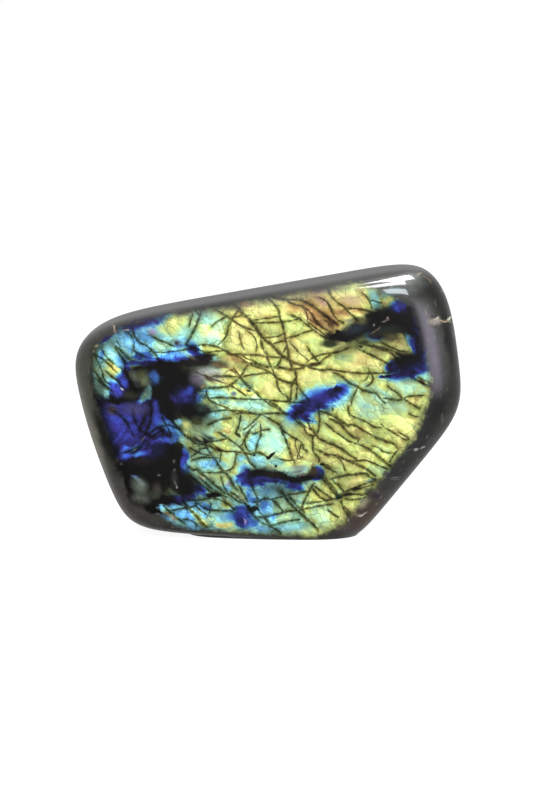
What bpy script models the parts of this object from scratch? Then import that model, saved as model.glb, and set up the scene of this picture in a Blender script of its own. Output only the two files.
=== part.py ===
"""A hand-sized freeform of labradorite, ground to soft facets, polished all over and cut level to stand.

Seen from the front its outline is a polygon of ground facets with rounded corners. Each facet carries a
slanting bevel towards the front face and one towards the back face, and the two faces bulge a little.
"""

import math
import bmesh
import bpy

# Sizes are in metres and angles in degrees. The stone is built round its middle, then cut at z = 0.
MIDDLE_X = 0.0072
MIDDLE_Z = 0.0364
HALF_THICKNESS = 0.018
BEVEL_TILT = 45.0
FACE_BULGE = 0.30
CORNER_SHARPNESS = 15.7
EDGE_SHARPNESS = 24.0
BASE_CHAMFER = 0.0006
SHARP_ANGLE = 25.0

# One row per facet of the outline, counted anticlockwise from the right as seen from the front:
# direction it faces, distance from the middle, width of its bevel.
RIGHT_FACET = (8.0, 0.0430, 0.0080)
CORNER_FACET = (28.0, 0.0623, 0.0070)
TOP_RIGHT_FACET = (50.0, 0.0473, 0.0060)
TOP_FACET = (100.0, 0.0278, 0.0040)
TOP_LEFT_FACET = (130.0, 0.0473, 0.0045)
UPPER_LEFT_FACET = (189.0, 0.0566, 0.0055)
LOWER_LEFT_FACET = (206.5, 0.0553, 0.0050)
BOTTOM_FACET = (266.0, 0.0378, 0.0030)
LOWER_RIGHT_FACET = (321.0, 0.0363, 0.0065)
FACETS = (
    RIGHT_FACET,
    CORNER_FACET,
    TOP_RIGHT_FACET,
    TOP_FACET,
    TOP_LEFT_FACET,
    UPPER_LEFT_FACET,
    LOWER_LEFT_FACET,
    BOTTOM_FACET,
    LOWER_RIGHT_FACET,
)

# The block that is pushed onto the surface, and how many cells it has along x, y and z.
BLOCK_HALF = (0.050, 0.018, 0.036)
BLOCK_CELLS = (34, 12, 24)
CELL_EASING = 0.8


def clear_scene():
    for item in list(bpy.data.objects):
        bpy.data.objects.remove(item)


def soft_largest(values, sharpness):
    """The largest of the values, with the step from one to the next rounded off."""
    total = 0.0
    for value in values:
        if value > 0.0:
            total += value ** sharpness
    return total ** (1.0 / sharpness)


def reach(x, y, z):
    """How far out a point lies, as a share of the way from the middle of the stone to its surface."""
    tilt = math.radians(BEVEL_TILT)
    outline_values = []
    bevel_values = []
    for direction, distance, bevel_width in FACETS:
        angle = math.radians(direction)
        outwards = x * math.cos(angle) + z * math.sin(angle)
        bevel_distance = (distance - bevel_width) * math.cos(tilt) + HALF_THICKNESS * math.sin(tilt)
        outline_values.append(outwards / distance)
        bevel_values.append((outwards * math.cos(tilt) + abs(y) * math.sin(tilt)) / bevel_distance)
    outline = soft_largest(outline_values, CORNER_SHARPNESS)
    bevel = soft_largest(bevel_values, CORNER_SHARPNESS)
    face = math.hypot(y / HALF_THICKNESS, FACE_BULGE * outline)
    return soft_largest((outline, bevel, face), EDGE_SHARPNESS)


def eased(share):
    """Moves a cell border outwards, so the cells are smaller near the rim than in the middle."""
    quarter = math.pi / 2.0 * CELL_EASING
    return math.sin(share * quarter) / math.sin(quarter)


def divided_block():
    """A cube from -1 to 1 whose faces are divided into cells."""
    mesh = bmesh.new()
    bmesh.ops.create_cube(mesh, size=2.0)
    for axis, cells in enumerate(BLOCK_CELLS):
        along = []
        for edge in mesh.edges:
            span = edge.verts[1].co - edge.verts[0].co
            if abs(span[axis]) > 1.9:
                along.append(edge)
        bmesh.ops.subdivide_edges(mesh, edges=along, cuts=cells - 1, use_grid_fill=True)
    return mesh


def push_onto_surface(mesh):
    for vertex in mesh.verts:
        x = eased(vertex.co.x) * BLOCK_HALF[0]
        y = eased(vertex.co.y) * BLOCK_HALF[1]
        z = eased(vertex.co.z) * BLOCK_HALF[2]
        share = reach(x, y, z)
        vertex.co.x = MIDDLE_X + x / share
        vertex.co.y = y / share
        vertex.co.z = MIDDLE_Z + z / share


def cut_base(mesh):
    """Cuts the stone level and takes the sharp edge off the cut."""
    everything = mesh.verts[:] + mesh.edges[:] + mesh.faces[:]
    cut = bmesh.ops.bisect_plane(
        mesh,
        geom=everything,
        plane_co=(0.0, 0.0, BASE_CHAMFER),
        plane_no=(0.0, 0.0, -1.0),
        clear_outer=True,
    )
    rim = [item for item in cut["geom_cut"] if isinstance(item, bmesh.types.BMEdge)]
    base = bmesh.ops.edgeloop_fill(mesh, edges=rim)["faces"]
    bmesh.ops.inset_region(mesh, faces=base, thickness=BASE_CHAMFER, use_even_offset=True)
    for vertex in base[0].verts:
        vertex.co.z = 0.0


def stone_material():
    material = bpy.data.materials.new("polished_labradorite")
    material.use_nodes = True
    shader = material.node_tree.nodes["Principled BSDF"]
    shader.inputs["Base Color"].default_value = (0.20, 0.24, 0.20, 1.0)
    shader.inputs["Roughness"].default_value = 0.12
    return material


def add_stone():
    mesh = divided_block()
    push_onto_surface(mesh)
    cut_base(mesh)
    bmesh.ops.recalc_face_normals(mesh, faces=mesh.faces)
    data = bpy.data.meshes.new("labradorite_stone")
    mesh.to_mesh(data)
    mesh.free()
    data.shade_smooth()
    data.set_sharp_from_angle(angle=math.radians(SHARP_ANGLE))
    data.materials.append(stone_material())
    stone = bpy.data.objects.new("labradorite_stone", data)
    bpy.context.scene.collection.objects.link(stone)


clear_scene()
add_stone()
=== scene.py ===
import math
from collections import namedtuple

import bmesh
import bpy
import numpy as np
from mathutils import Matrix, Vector, noise


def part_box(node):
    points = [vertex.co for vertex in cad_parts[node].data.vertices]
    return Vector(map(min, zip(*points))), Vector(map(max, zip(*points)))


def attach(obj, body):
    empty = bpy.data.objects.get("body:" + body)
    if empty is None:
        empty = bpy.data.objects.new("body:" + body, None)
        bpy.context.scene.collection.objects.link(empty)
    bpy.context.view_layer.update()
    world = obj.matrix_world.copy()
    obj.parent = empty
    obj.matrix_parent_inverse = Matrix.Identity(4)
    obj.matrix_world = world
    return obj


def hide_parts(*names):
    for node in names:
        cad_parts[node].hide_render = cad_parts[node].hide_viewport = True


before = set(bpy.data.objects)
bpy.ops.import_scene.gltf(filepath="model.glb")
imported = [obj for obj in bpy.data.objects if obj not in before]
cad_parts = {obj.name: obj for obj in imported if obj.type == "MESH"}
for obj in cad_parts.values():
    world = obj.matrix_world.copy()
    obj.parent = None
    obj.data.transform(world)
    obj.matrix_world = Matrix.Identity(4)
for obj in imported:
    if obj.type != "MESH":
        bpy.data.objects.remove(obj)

# A polished labradorite freeform and the plain studio stage that it stands on. Each operator below makes
# one of them, and main() calls them in order.

bl_info = {
    "name": "Polished labradorite freeform",
    "version": (1, 0, 0),
    "blender": (4, 5, 0),
    "location": "View3D > Sidebar > Labradorite",
    "description": "Makes a polished labradorite freeform with its flash and fractures, and a studio stage",
    "category": "Object",
}

STONE_NODE = "labradorite_stone"
STONE_BODY = "root"
STONE_SLOT = "polished_labradorite"
LOWEST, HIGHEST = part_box(STONE_NODE)
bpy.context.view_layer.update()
MILLIMETRE = 0.001


# The shape of the stone
# ----------------------------------------------------------

# Direction that a ground facet faces, in degrees anticlockwise from the right as seen from the front, its
# distance from the middle of the stone, and the width of its bevel towards each face, in metres.
Facet = namedtuple("Facet", "direction distance bevel_width")
FACETS = (
    Facet(8.0, 0.0430, 0.0080),
    Facet(28.0, 0.0623, 0.0070),
    Facet(50.0, 0.0473, 0.0060),
    Facet(100.0, 0.0278, 0.0040),
    Facet(130.0, 0.0473, 0.0045),
    Facet(189.0, 0.0566, 0.0055),
    Facet(206.5, 0.0553, 0.0050),
    Facet(266.0, 0.0378, 0.0030),
    Facet(321.0, 0.0363, 0.0065),
)
MIDDLE_X = 0.0072
MIDDLE_Z = 0.0364

# The block whose cells are pushed out onto the surface: half of its sides, and how much smaller its cells
# are near the rim.
BLOCK_HALF = np.array((0.050, 0.018, 0.036))
CELL_EASING = 0.8
CUBE_SIDE = 2.0

# Edges that turn by more than this many degrees look sharp.
SHARP_TURN = 25.0

# The waves that hand grinding leaves, in millimetres along x, y and z, and their shares of the wear.
LONG_WAVE = 14.0
SHORT_WAVES = (9.0, 2.2, 5.0)
MEAN_SHARE = 0.5
LONG_SHARE = 0.35
SHORT_SHARE = 0.15

# Small pits that the polish didn't reach: place on the front face in millimetres, radius and depth. Their
# rims are ragged, with a grain in millimetres and a share of the radius that it changes.
Pit = namedtuple("Pit", "x z radius depth")
PITS = (
    Pit(42.1, 56.3, 1.5, 0.35),
    Pit(44.8, 56.3, 0.9, 0.20),
    Pit(-39.3, 54.2, 1.0, 0.22),
    Pit(-43.4, 49.8, 0.7, 0.18),
    Pit(40.3, 66.5, 1.0, 0.15),
    Pit(44.4, 63.3, 0.6, 0.15),
    Pit(23.4, 6.8, 1.1, 0.15),
)
PIT_GRAIN = 0.9
PIT_RAGGEDNESS = 0.5


def soft_largest(values, sharpness):
    """The largest of the arrays at each place, with the step from one to the next rounded off."""
    total = np.zeros_like(values[0])
    for value in values:
        total += np.maximum(value, 0.0) ** sharpness
    return total ** (1.0 / sharpness)


def reach(points, shape):
    """How far out each point lies, as a share of the way from the middle of the stone to its surface."""
    x, y, z = points.T
    tilt = math.radians(shape.bevel_tilt)
    outline_values = []
    bevel_values = []
    for facet in FACETS:
        angle = math.radians(facet.direction)
        outwards = x * math.cos(angle) + z * math.sin(angle)
        bevel_start = facet.distance - facet.bevel_width
        bevel_distance = bevel_start * math.cos(tilt) + shape.half_thickness * math.sin(tilt)
        outline_values.append(outwards / facet.distance)
        bevel_values.append((outwards * math.cos(tilt) + np.abs(y) * math.sin(tilt)) / bevel_distance)
    outline = soft_largest(outline_values, shape.corner_sharpness)
    bevel = soft_largest(bevel_values, shape.corner_sharpness)
    face = np.hypot(y / shape.half_thickness, shape.face_bulge * outline)
    return soft_largest((outline, bevel, face), shape.edge_sharpness)


def eased(share):
    """Moves a cell border outwards, so the cells are smaller near the rim than in the middle."""
    quarter = math.pi / 2.0 * CELL_EASING
    return np.sin(share * quarter) / math.sin(quarter)


def divided_block(cells):
    """A cube from -1 to 1 whose faces are divided into cells."""
    mesh = bmesh.new()
    bmesh.ops.create_cube(mesh, size=CUBE_SIDE)
    for axis, count in enumerate(cells):
        along = []
        for edge in mesh.edges:
            span = edge.verts[1].co - edge.verts[0].co
            if abs(span[axis]) > 0.95 * CUBE_SIDE:
                along.append(edge)
        bmesh.ops.subdivide_edges(mesh, edges=along, cuts=count - 1, use_grid_fill=True)
    return mesh


def wear(point, depth):
    """How far hand grinding sank the surface here: long low waves with shorter ones over them."""
    long_wave = noise.noise(point / (LONG_WAVE * MILLIMETRE))
    shortened = Vector([part / length for part, length in zip(point, SHORT_WAVES)])
    short_wave = noise.noise(shortened / MILLIMETRE)
    return depth * (MEAN_SHARE + LONG_SHARE * long_wave + SHORT_SHARE * short_wave)


def pit_depth(point):
    """How deep the pits are at this place on the front of the stone."""
    if point.y > 0.0:
        return 0.0
    deepest = 0.0
    for pit in PITS:
        away = math.hypot(point.x / MILLIMETRE - pit.x, point.z / MILLIMETRE - pit.z)
        grain = noise.noise(point / (PIT_GRAIN * MILLIMETRE))
        ragged = pit.radius * (1.0 + PIT_RAGGEDNESS * grain)
        if away < ragged:
            deepest = max(deepest, pit.depth * (1.0 - (away / ragged) ** 2))
    return deepest * MILLIMETRE


def push_onto_surface(mesh, shape):
    """Moves the block's places out or in onto the surface of the stone, with its wear and pits."""
    points = np.array([vertex.co[:] for vertex in mesh.verts])
    points = eased(points) * BLOCK_HALF
    points /= reach(points, shape)[:, None]
    for vertex, point in zip(mesh.verts, points):
        inwards = -Vector(point).normalized()
        place = Vector((MIDDLE_X + point[0], point[1], MIDDLE_Z + point[2]))
        place = place + inwards * wear(place, shape.wear_depth)
        if place.y < 0.0:
            place.y += pit_depth(place)
        vertex.co = [min(max(value, low), high) for value, low, high in zip(place, LOWEST, HIGHEST)]


def cut_base(mesh, chamfer):
    """Cuts the stone level and takes the sharp edge off the cut."""
    everything = mesh.verts[:] + mesh.edges[:] + mesh.faces[:]
    cut = bmesh.ops.bisect_plane(
        mesh,
        geom=everything,
        plane_co=(0.0, 0.0, chamfer),
        plane_no=(0.0, 0.0, -1.0),
        clear_outer=True,
    )
    rim = [item for item in cut["geom_cut"] if isinstance(item, bmesh.types.BMEdge)]
    base = bmesh.ops.edgeloop_fill(mesh, edges=rim)["faces"]
    bmesh.ops.inset_region(mesh, faces=base, thickness=chamfer, use_even_offset=True)
    for vertex in base[0].verts:
        vertex.co.z = 0.0


def stone_mesh(shape):
    """The mesh of the whole stone."""
    mesh = divided_block(shape.cells)
    push_onto_surface(mesh, shape)
    cut_base(mesh, shape.base_chamfer)
    bmesh.ops.recalc_face_normals(mesh, faces=mesh.faces)
    data = bpy.data.meshes.new("polished_freeform")
    mesh.to_mesh(data)
    mesh.free()
    data.shade_smooth()
    data.set_sharp_from_angle(angle=math.radians(SHARP_TURN))
    return data


# Colours
# ----------------------------------------------------------


def paint(red, green, blue):
    """A colour given in screen values from 0 to 255, as the linear values that a shader takes."""
    linear = []
    for value in (red, green, blue):
        share = value / 255.0
        linear.append(share / 12.92 if share <= 0.04045 else ((share + 0.055) / 1.055) ** 2.4)
    return tuple(linear)


# Places along the run of flash colours, from the dark end of the stone's own body to the brown end.
RUN = {
    "black": 0.00,
    "night": 0.08,
    "navy": 0.13,
    "violet": 0.20,
    "royal": 0.28,
    "azure": 0.37,
    "sky": 0.45,
    "cyan": 0.50,
    "aqua": 0.55,
    "mint": 0.62,
    "lime": 0.70,
    "cream": 0.77,
    "gold": 0.85,
    "tan": 0.92,
    "brown": 1.00,
}
BLACK, NIGHT, NAVY, VIOLET, ROYAL, AZURE, SKY, CYAN, AQUA, MINT, LIME, CREAM, GOLD, TAN, BROWN = RUN.values()


# Where the flash lies on the front face. Each row is a spot, in millimetres: x, z, half length, half width
# and what it brings, here a place along the run of colours. Then come the tilt in degrees (positive rises
# to the right) and how soft the edge is, from 0 to 1, and a row leaves them out where they are 0 and 0.9.
# Later rows lie over earlier ones.
# ----------------------------------------------------------

Spot = namedtuple("Spot", "x z half_length half_width brings tilt softness", defaults=(0.0, 0.9))

BROAD_FLASH = (
    (10, 52, 30, 16, 0.745),
    (-2, 30, 9, 12, 0.66),
    (-14, 27, 8, 15, 0.6),
    (-12, 45, 8, 5, 0.66),
    (-19, 7, 12, 6, 0.46, 5, 0.5),
    (-2, 9, 7, 8, 0.45, -20, 0.8),
    (6, 5, 8, 4, 0.58),
    (-32, 52, 14, 8, 0.48, 10),
    (-45, 28, 20.5, 22, BLACK, 0, 0.22),
    (-34, 20, 14, 11, BLACK, 0, 0.3),
    (-27.5, 39, 8.3, 7, BLACK, 20, 0.25),
    (-29, 30, 7, 9, BLACK, 0, 0.25),
    (-20, 14.5, 6.5, 3.6, BLACK, -22, 0.3),
    (-29, 9.5, 9, 3, BLACK, 0, 0.3),
    (-21, 39, 4.4, 7, BLACK, 0, 0.6),
    (-18.5, 46.6, 6, 1.3, BLACK, 7, 0.5),
    (-15.4, 46.6, 5.2, 1.8, BLACK, -4),
    (-15.5, 19, 6.5, 5.5, MINT - 0.02, -35, 0.8),
    (-14, 12, 5.5, 4, AQUA + 0.02, -30, 0.8),
    (-1.5, 11, 5.5, 6.5, CYAN + 0.01, -15, 0.8),
    (5, 8.5, 4.6, 5, AQUA + 0.02, -20, 0.8),
    (-23.5, 47.8, 3.6, 1.6, SKY, 5, 0.6),
)

UPPER_LEFT_FLASH = (
    (-33.5, 51, 6, 3.6, SKY, -18, 0.5),
    (-40, 47.5, 4.2, 3.4, CYAN, 65, 0.4),
    (-25, 55.5, 3.2, 2.8, LIME, 0, 0.7),
    (-27.5, 50.5, 2.6, 1.8, MINT, -20, 0.6),
    (-31.5, 56.4, 7.5, 2, NAVY + 0.05, 13, 0.8),
    (-39, 54.6, 3.6, 0.9, NIGHT, 18, 0.6),
    (-41.3, 52.3, 2.6, 1.2, VIOLET - 0.04, 42, 0.6),
    (-27, 57.4, 2, 0.8, AZURE, 14, 0.6),
    (-31.5, 52.8, 3.6, 1.8, SKY, -20),
    (-39.3, 48.5, 2.2, 1.5, CYAN, -50, 0.4),
    (-42, 46.5, 1.4, 2, AZURE, 0, 0.6),
    (-39.8, 44.6, 3, 1.4, LIME - 0.02, -55),
    (-38.6, 44.4, 1.9, 0.7, GOLD + 0.01, -55),
    (-43, 42.6, 2.2, 5, AQUA + 0.03, 5),
    (-41.2, 43, 1.2, 2.6, MINT, 0, 0.8),
    (-39.8, 41.2, 2.4, 1.2, CYAN, -30, 0.8),
    (-39.3, 39.8, 1.8, 1.3, ROYAL + 0.02, 0, 0.6),
    (-36.9, 46.6, 1.8, 2.4, AZURE, 20),
    (-36.8, 41.6, 1.4, 2.8, ROYAL - 0.03, 30),
    (-35, 43.6, 1, 2.6, NAVY - 0.02, 20),
    (-30, 46.2, 7, 0.8, NAVY + 0.03, 2),
    (-24.4, 47.2, 4.4, 1.1, ROYAL + 0.06, 4),
    (-33.2, 47.8, 1.5, 0.6, ROYAL + 0.04, 0, 0.5),
    (-30.5, 47.8, 1.6, 0.9, ROYAL + 0.03, 0, 0.5),
    (-27, 48.6, 1.6, 0.7, LIME - 0.03, 0, 0.5),
    (-24.6, 48.4, 3.4, 1.4, AZURE + 0.03, 5),
    (-22.2, 47, 2, 0.6, ROYAL - 0.04, 8),
    (-22.5, 50.4, 1.6, 1, AZURE - 0.03),
    (-28, 44, 7, 2.6, BLACK, 8, 0.3),
    (-28.7, 42.4, 1.7, 2, AZURE - 0.04),
    (-30.3, 38.6, 1, 2.4, AQUA - 0.02, -6),
)

UPPER_MIDDLE_FLASH = (
    (-23, 56, 3, 2.6, LIME + 0.03, 0, 0.7),
    (-15.5, 55.4, 6, 5, MINT + 0.02),
    (-16.5, 57.6, 3.2, 2.6, AQUA + 0.03),
    (-12, 54, 3.2, 3, LIME - 0.01),
    (-7, 53, 4, 4.2, CREAM, 0, 0.8),
    (-5, 59.5, 3.2, 1.2, CREAM, 0, 0.6),
    (-20.5, 53.2, 3, 2.6, AQUA - 0.01),
    (-21.6, 51.8, 1.8, 1.2, SKY - 0.02),
    (-19, 51, 2.2, 1.3, SKY - 0.03, -45),
    (-15.5, 51.4, 3.4, 1.4, MINT - 0.03, -8),
    (-18.8, 49.2, 2.8, 1.3, NAVY + 0.02, -35),
    (-18.3, 46.3, 2.4, 0.6, NIGHT, 3, 0.5),
    (-13, 46.8, 1.8, 0.8, AQUA, 0, 0.6),
    (-8.4, 46.8, 4, 1.4, GOLD - 0.01, -12),
    (-14.5, 43.8, 2.9, 1.5, MINT - 0.03, 0, 0.6),
    (-10.3, 43.8, 1.8, 1.3, LIME, 0, 0.6),
    (-11.5, 41.4, 3, 0.8, CREAM, 0, 0.5),
    (-8.6, 44.4, 2.2, 1.3, GOLD - 0.03, -40),
    (-6, 40.5, 2.4, 1.6, MINT, -40, 0.6),
    (-14, 38.6, 2.6, 1.6, CYAN + 0.01),
)

UPPER_RIGHT_FLASH = (
    (-3, 59, 4, 2.4, CREAM, 0, 0.7),
    (3.7, 59, 2.4, 1.8, CREAM, 0, 0.7),
    (6, 60, 2.4, 1.5, CREAM + 0.05, 0, 0.6),
    (6.5, 55, 3.2, 2.2, LIME + 0.02, 0, 0.7),
    (12, 50, 4, 2.4, LIME + 0.02, 0, 0.7),
    (12.5, 59.6, 8, 3.8, TAN - 0.03, -28),
    (11.8, 57, 3.8, 1.2, BROWN - 0.04, -45),
    (15.4, 57, 3.2, 1.4, BROWN, -45),
    (12, 62.4, 3.6, 1.4, GOLD + 0.01, -5),
    (19.6, 61.6, 4.2, 2.4, GOLD - 0.01, -10),
    (18.4, 58.7, 2.6, 1, TAN - 0.01, -10, 0.8),
    (22.5, 59.4, 2.3, 1, GOLD, -30),
    (24.2, 62.5, 2.2, 1.1, GOLD - 0.03, -60, 0.8),
    (26.9, 61.8, 1.7, 3.4, CYAN + 0.01, 18),
    (29.2, 63.2, 1.4, 1.3, MINT, 0, 0.6),
    (31.6, 63.8, 3.2, 1.4, CYAN, -5, 0.8),
    (22.5, 46.5, 2.5, 1.4, CREAM + 0.04, 0, 0.8),
    (24, 47.6, 2.6, 2, GOLD - 0.04),
    (19, 47, 3.4, 2.2, MINT + 0.03),
    (28, 49.5, 5, 2.4, LIME + 0.02, -20, 0.6),
    (17.5, 52.6, 3.6, 1.5, BLACK, 4, 0.5),
    (22.6, 54.6, 5, 2.2, BLACK, 22, 0.7),
    (27.8, 56.6, 4.4, 3.6, BLACK, 42, 0.6),
    (29, 53.6, 4.4, 1.8, NIGHT, 10),
    (31.6, 57.2, 4.2, 4.4, BLACK, 0, 0.5),
    (35, 57, 3.6, 5.4, BLACK, 0, 0.5),
    (30.5, 53.4, 4, 2, BLACK),
    (38, 52.5, 2.2, 9, NIGHT, 5, 0.6),
    (33.4, 60.3, 2.6, 1.7, VIOLET + 0.03),
    (36.6, 61, 1.6, 1, NIGHT),
    (33.4, 51.6, 1.2, 2.4, GOLD - 0.04, 20),
    (35, 51.8, 0.6, 2, CYAN - 0.02, 18),
    (36.2, 50.4, 0.9, 2.4, ROYAL - 0.04, 10),
    (37.4, 54, 0.8, 4, NAVY + 0.03, 8),
    (35.2, 46.4, 4.8, 2.6, BLACK, 5, 0.7),
    (36.8, 44.4, 3.6, 2.4, NAVY + 0.01, 0, 0.8),
    (40.4, 44.6, 1.2, 2, AZURE - 0.03, -8),
    (40, 41.9, 1.8, 1.5, CYAN + 0.04),
    (34, 41.6, 5.6, 1.5, CYAN + 0.02, 4),
    (34.4, 43.1, 5.4, 1.7, NAVY + 0.02, 6),
    (30, 42.6, 2.6, 0.7, NIGHT, 8, 0.8),
    (31, 45.2, 1.8, 1.4, NIGHT, 20),
)

MIDDLE_LEFT_FLASH = (
    (-35.5, 29.8, 8.6, 8.4, NAVY + 0.03),
    (-36.4, 31.6, 7.6, 5.2, VIOLET - 0.01),
    (-38, 31.2, 3, 2, VIOLET + 0.03, 0, 0.8),
    (-32.6, 28.4, 2, 2, VIOLET),
    (-29.6, 25, 4, 3.6, NAVY),
    (-35, 28.4, 4.6, 0.6, ROYAL - 0.04, 42),
    (-37.6, 27.8, 3.4, 0.5, ROYAL - 0.02, 58),
    (-32, 30.6, 3.4, 0.5, NIGHT, 75),
    (-38, 37, 4.6, 1.6, BLACK, 0, 0.8),
    (-41.4, 39.8, 1.2, 2.6, AQUA - 0.03, 10),
    (-38.6, 39.2, 2.4, 1.6, ROYAL - 0.04, -40),
    (-34.2, 24.2, 3.4, 0.9, AZURE - 0.02, 28),
    (-36.4, 23.8, 1.6, 1, AZURE - 0.05, 40),
    (-36.4, 22.2, 2.4, 1.4, ROYAL, 15),
    (-32.6, 22.8, 2.6, 0.8, ROYAL + 0.04, 18),
    (-31.2, 37.6, 2, 1.1, AQUA + 0.02, 50),
    (-32.4, 36, 1.3, 0.7, CYAN, 20),
    (-34.9, 38, 1.6, 1.6, BLACK),
    (-28.7, 34.6, 1.1, 2.4, ROYAL - 0.03),
    (-28, 31, 2.6, 2.3, ROYAL, 0, 0.8),
    (-27.5, 30.8, 1.2, 0.9, AZURE - 0.05),
    (-29, 28.6, 1.5, 0.9, ROYAL, -30, 0.8),
    (-24.9, 29.3, 2.6, 1.6, AZURE, -35, 0.7),
    (-25.4, 26.6, 2.6, 1.2, AZURE - 0.02, 8, 0.8),
    (-26.6, 28.2, 1.6, 0.5, NAVY, -35),
    (-22.8, 30.9, 1.4, 1.1, SKY + 0.03, -20, 0.8),
    (-21.6, 37.4, 3.2, 3, NAVY + 0.03),
    (-20.2, 39, 1.8, 1, ROYAL - 0.02, 40),
    (-17.2, 37.6, 1.3, 1.3, ROYAL + 0.05),
    (-16.1, 38, 0.8, 1, SKY, 0, 0.8),
    (-20.5, 33.6, 2.6, 2.2, BLACK, 0, 0.7),
    (-16.6, 33.8, 3.8, 2.8, BLACK, 0, 0.85),
    (-18.6, 31.2, 2.4, 1, BLACK, -20),
    (-20.6, 30.1, 1.2, 0.8, CREAM, -30),
    (-22.9, 28.3, 1.6, 0.7, SKY, -40, 0.8),
    (-17.3, 29, 1.6, 1.4, MINT + 0.03, 0, 0.8),
    (-16.6, 26.4, 3, 1, BLACK, -12),
    (-21.6, 25.9, 1.6, 1.2, AQUA, -30, 0.8),
    (-22.4, 21, 1.4, 4.6, BLACK, 4, 0.7),
    (-21.3, 20.8, 3.4, 1.1, ROYAL - 0.05, 84),
    (-20.5, 18.8, 1, 1.3, AZURE - 0.05),
)

MIDDLE_FLASH = (
    (-12, 38.3, 3.4, 1.4, CYAN + 0.03, 0, 0.8),
    (-9.5, 39, 1.5, 1.1, MINT + 0.03, 0, 0.6),
    (-5, 38.8, 1.6, 0.7, CREAM, -40, 0.5),
    (-6, 35, 5.2, 1.5, MINT - 0.03, 0, 0.6),
    (-12, 36.2, 2.1, 0.8, AQUA, 0, 0.6),
    (-12.8, 32.8, 3, 1.6, CYAN + 0.01, 5, 0.8),
    (-9.5, 31, 2.5, 2.3, LIME, 0, 0.7),
    (-10.2, 28.5, 1.4, 1, CREAM + 0.04, 0, 0.6),
    (-6, 31.5, 1.6, 2.5, MINT, 0, 0.7),
    (-3.5, 30.5, 1.3, 1.6, MINT - 0.03, 0, 0.7),
    (-4.3, 25.5, 2.3, 1.1, CYAN + 0.02, 70, 0.5),
    (-2.8, 21, 2.8, 2, CYAN - 0.01, -30, 0.8),
    (-14.3, 29.3, 1.3, 1.3, MINT, 0, 0.6),
    (-12.8, 27.3, 1.3, 0.8, LIME, 0, 0.6),
    (-7.5, 26.3, 1.4, 0.9, MINT + 0.02, 0, 0.6),
    (-15.6, 20, 3.6, 2.3, CYAN - 0.02, 0, 0.8),
    (-15.4, 20.4, 1.2, 0.8, SKY - 0.03, 30),
    (-16, 23.5, 2.6, 0.8, AQUA, 0, 0.5),
    (-11.5, 24.5, 2.5, 2, LIME, 0, 0.6),
    (-10.5, 21.5, 1.5, 2, MINT + 0.04, 0, 0.6),
    (-7, 21.5, 1.5, 1.4, CYAN, 0, 0.5),
    (-6.2, 18.9, 2, 1.2, SKY - 0.02),
    (-8.8, 18.3, 0.9, 1.2, LIME, 0, 0.6),
    (-13.5, 16.5, 2.6, 1.3, MINT, 0, 0.6),
    (-3.5, 35.5, 2.6, 1.7, MINT - 0.02, 0, 0.6),
    (1.2, 26.6, 4.4, 4.6, MINT - 0.03, 0, 0.7),
    (-3.4, 26.5, 1, 2.6, CYAN + 0.02, 0, 0.6),
    (2, 20.6, 2.6, 1.2, AQUA, 0, 0.6),
    (6.6, 24.5, 1.3, 4, CREAM - 0.02, 15, 0.7),
    (0, 39, 3, 2, CREAM, 0, 0.8),
    (25.4, 36.2, 4.8, 5.2, MINT - 0.01),
    (32.5, 36.6, 6.6, 4.4, MINT + 0.01, -10),
    (36, 40, 4, 2, MINT - 0.03),
    (35, 29.4, 2.4, 2.8, LIME + 0.02),
    (38.5, 38.7, 1.3, 1.1, MINT, 0, 0.6),
    (37, 36.5, 2, 1.1, CREAM, 0, 0.6),
    (13.4, 36.6, 9.4, 4.4, AQUA + 0.02, 22),
    (11.6, 38.7, 3.6, 1.6, SKY, 22),
    (18.9, 38.6, 2, 2.4, CYAN - 0.02),
    (7.6, 32.2, 4, 2.6, AQUA - 0.04, 20),
    (12.6, 36.2, 8.2, 2.8, VIOLET + 0.02, 23, 0.85),
    (16.2, 38.2, 3.2, 1.9, NAVY, 20),
    (17.4, 38.9, 1.4, 0.9, NIGHT, 20),
    (12.6, 36, 3.2, 1.2, NAVY + 0.04, 23),
    (8, 33.8, 3.3, 1.7, NIGHT, 25),
    (12.2, 34.4, 2.6, 1, NAVY, 22),
    (9.4, 32.2, 1.8, 1.1, NAVY - 0.01, -30),
    (9.6, 33, 0.8, 0.5, ROYAL),
    (11.4, 31.6, 0.9, 1.4, SKY, 25),
)

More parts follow.
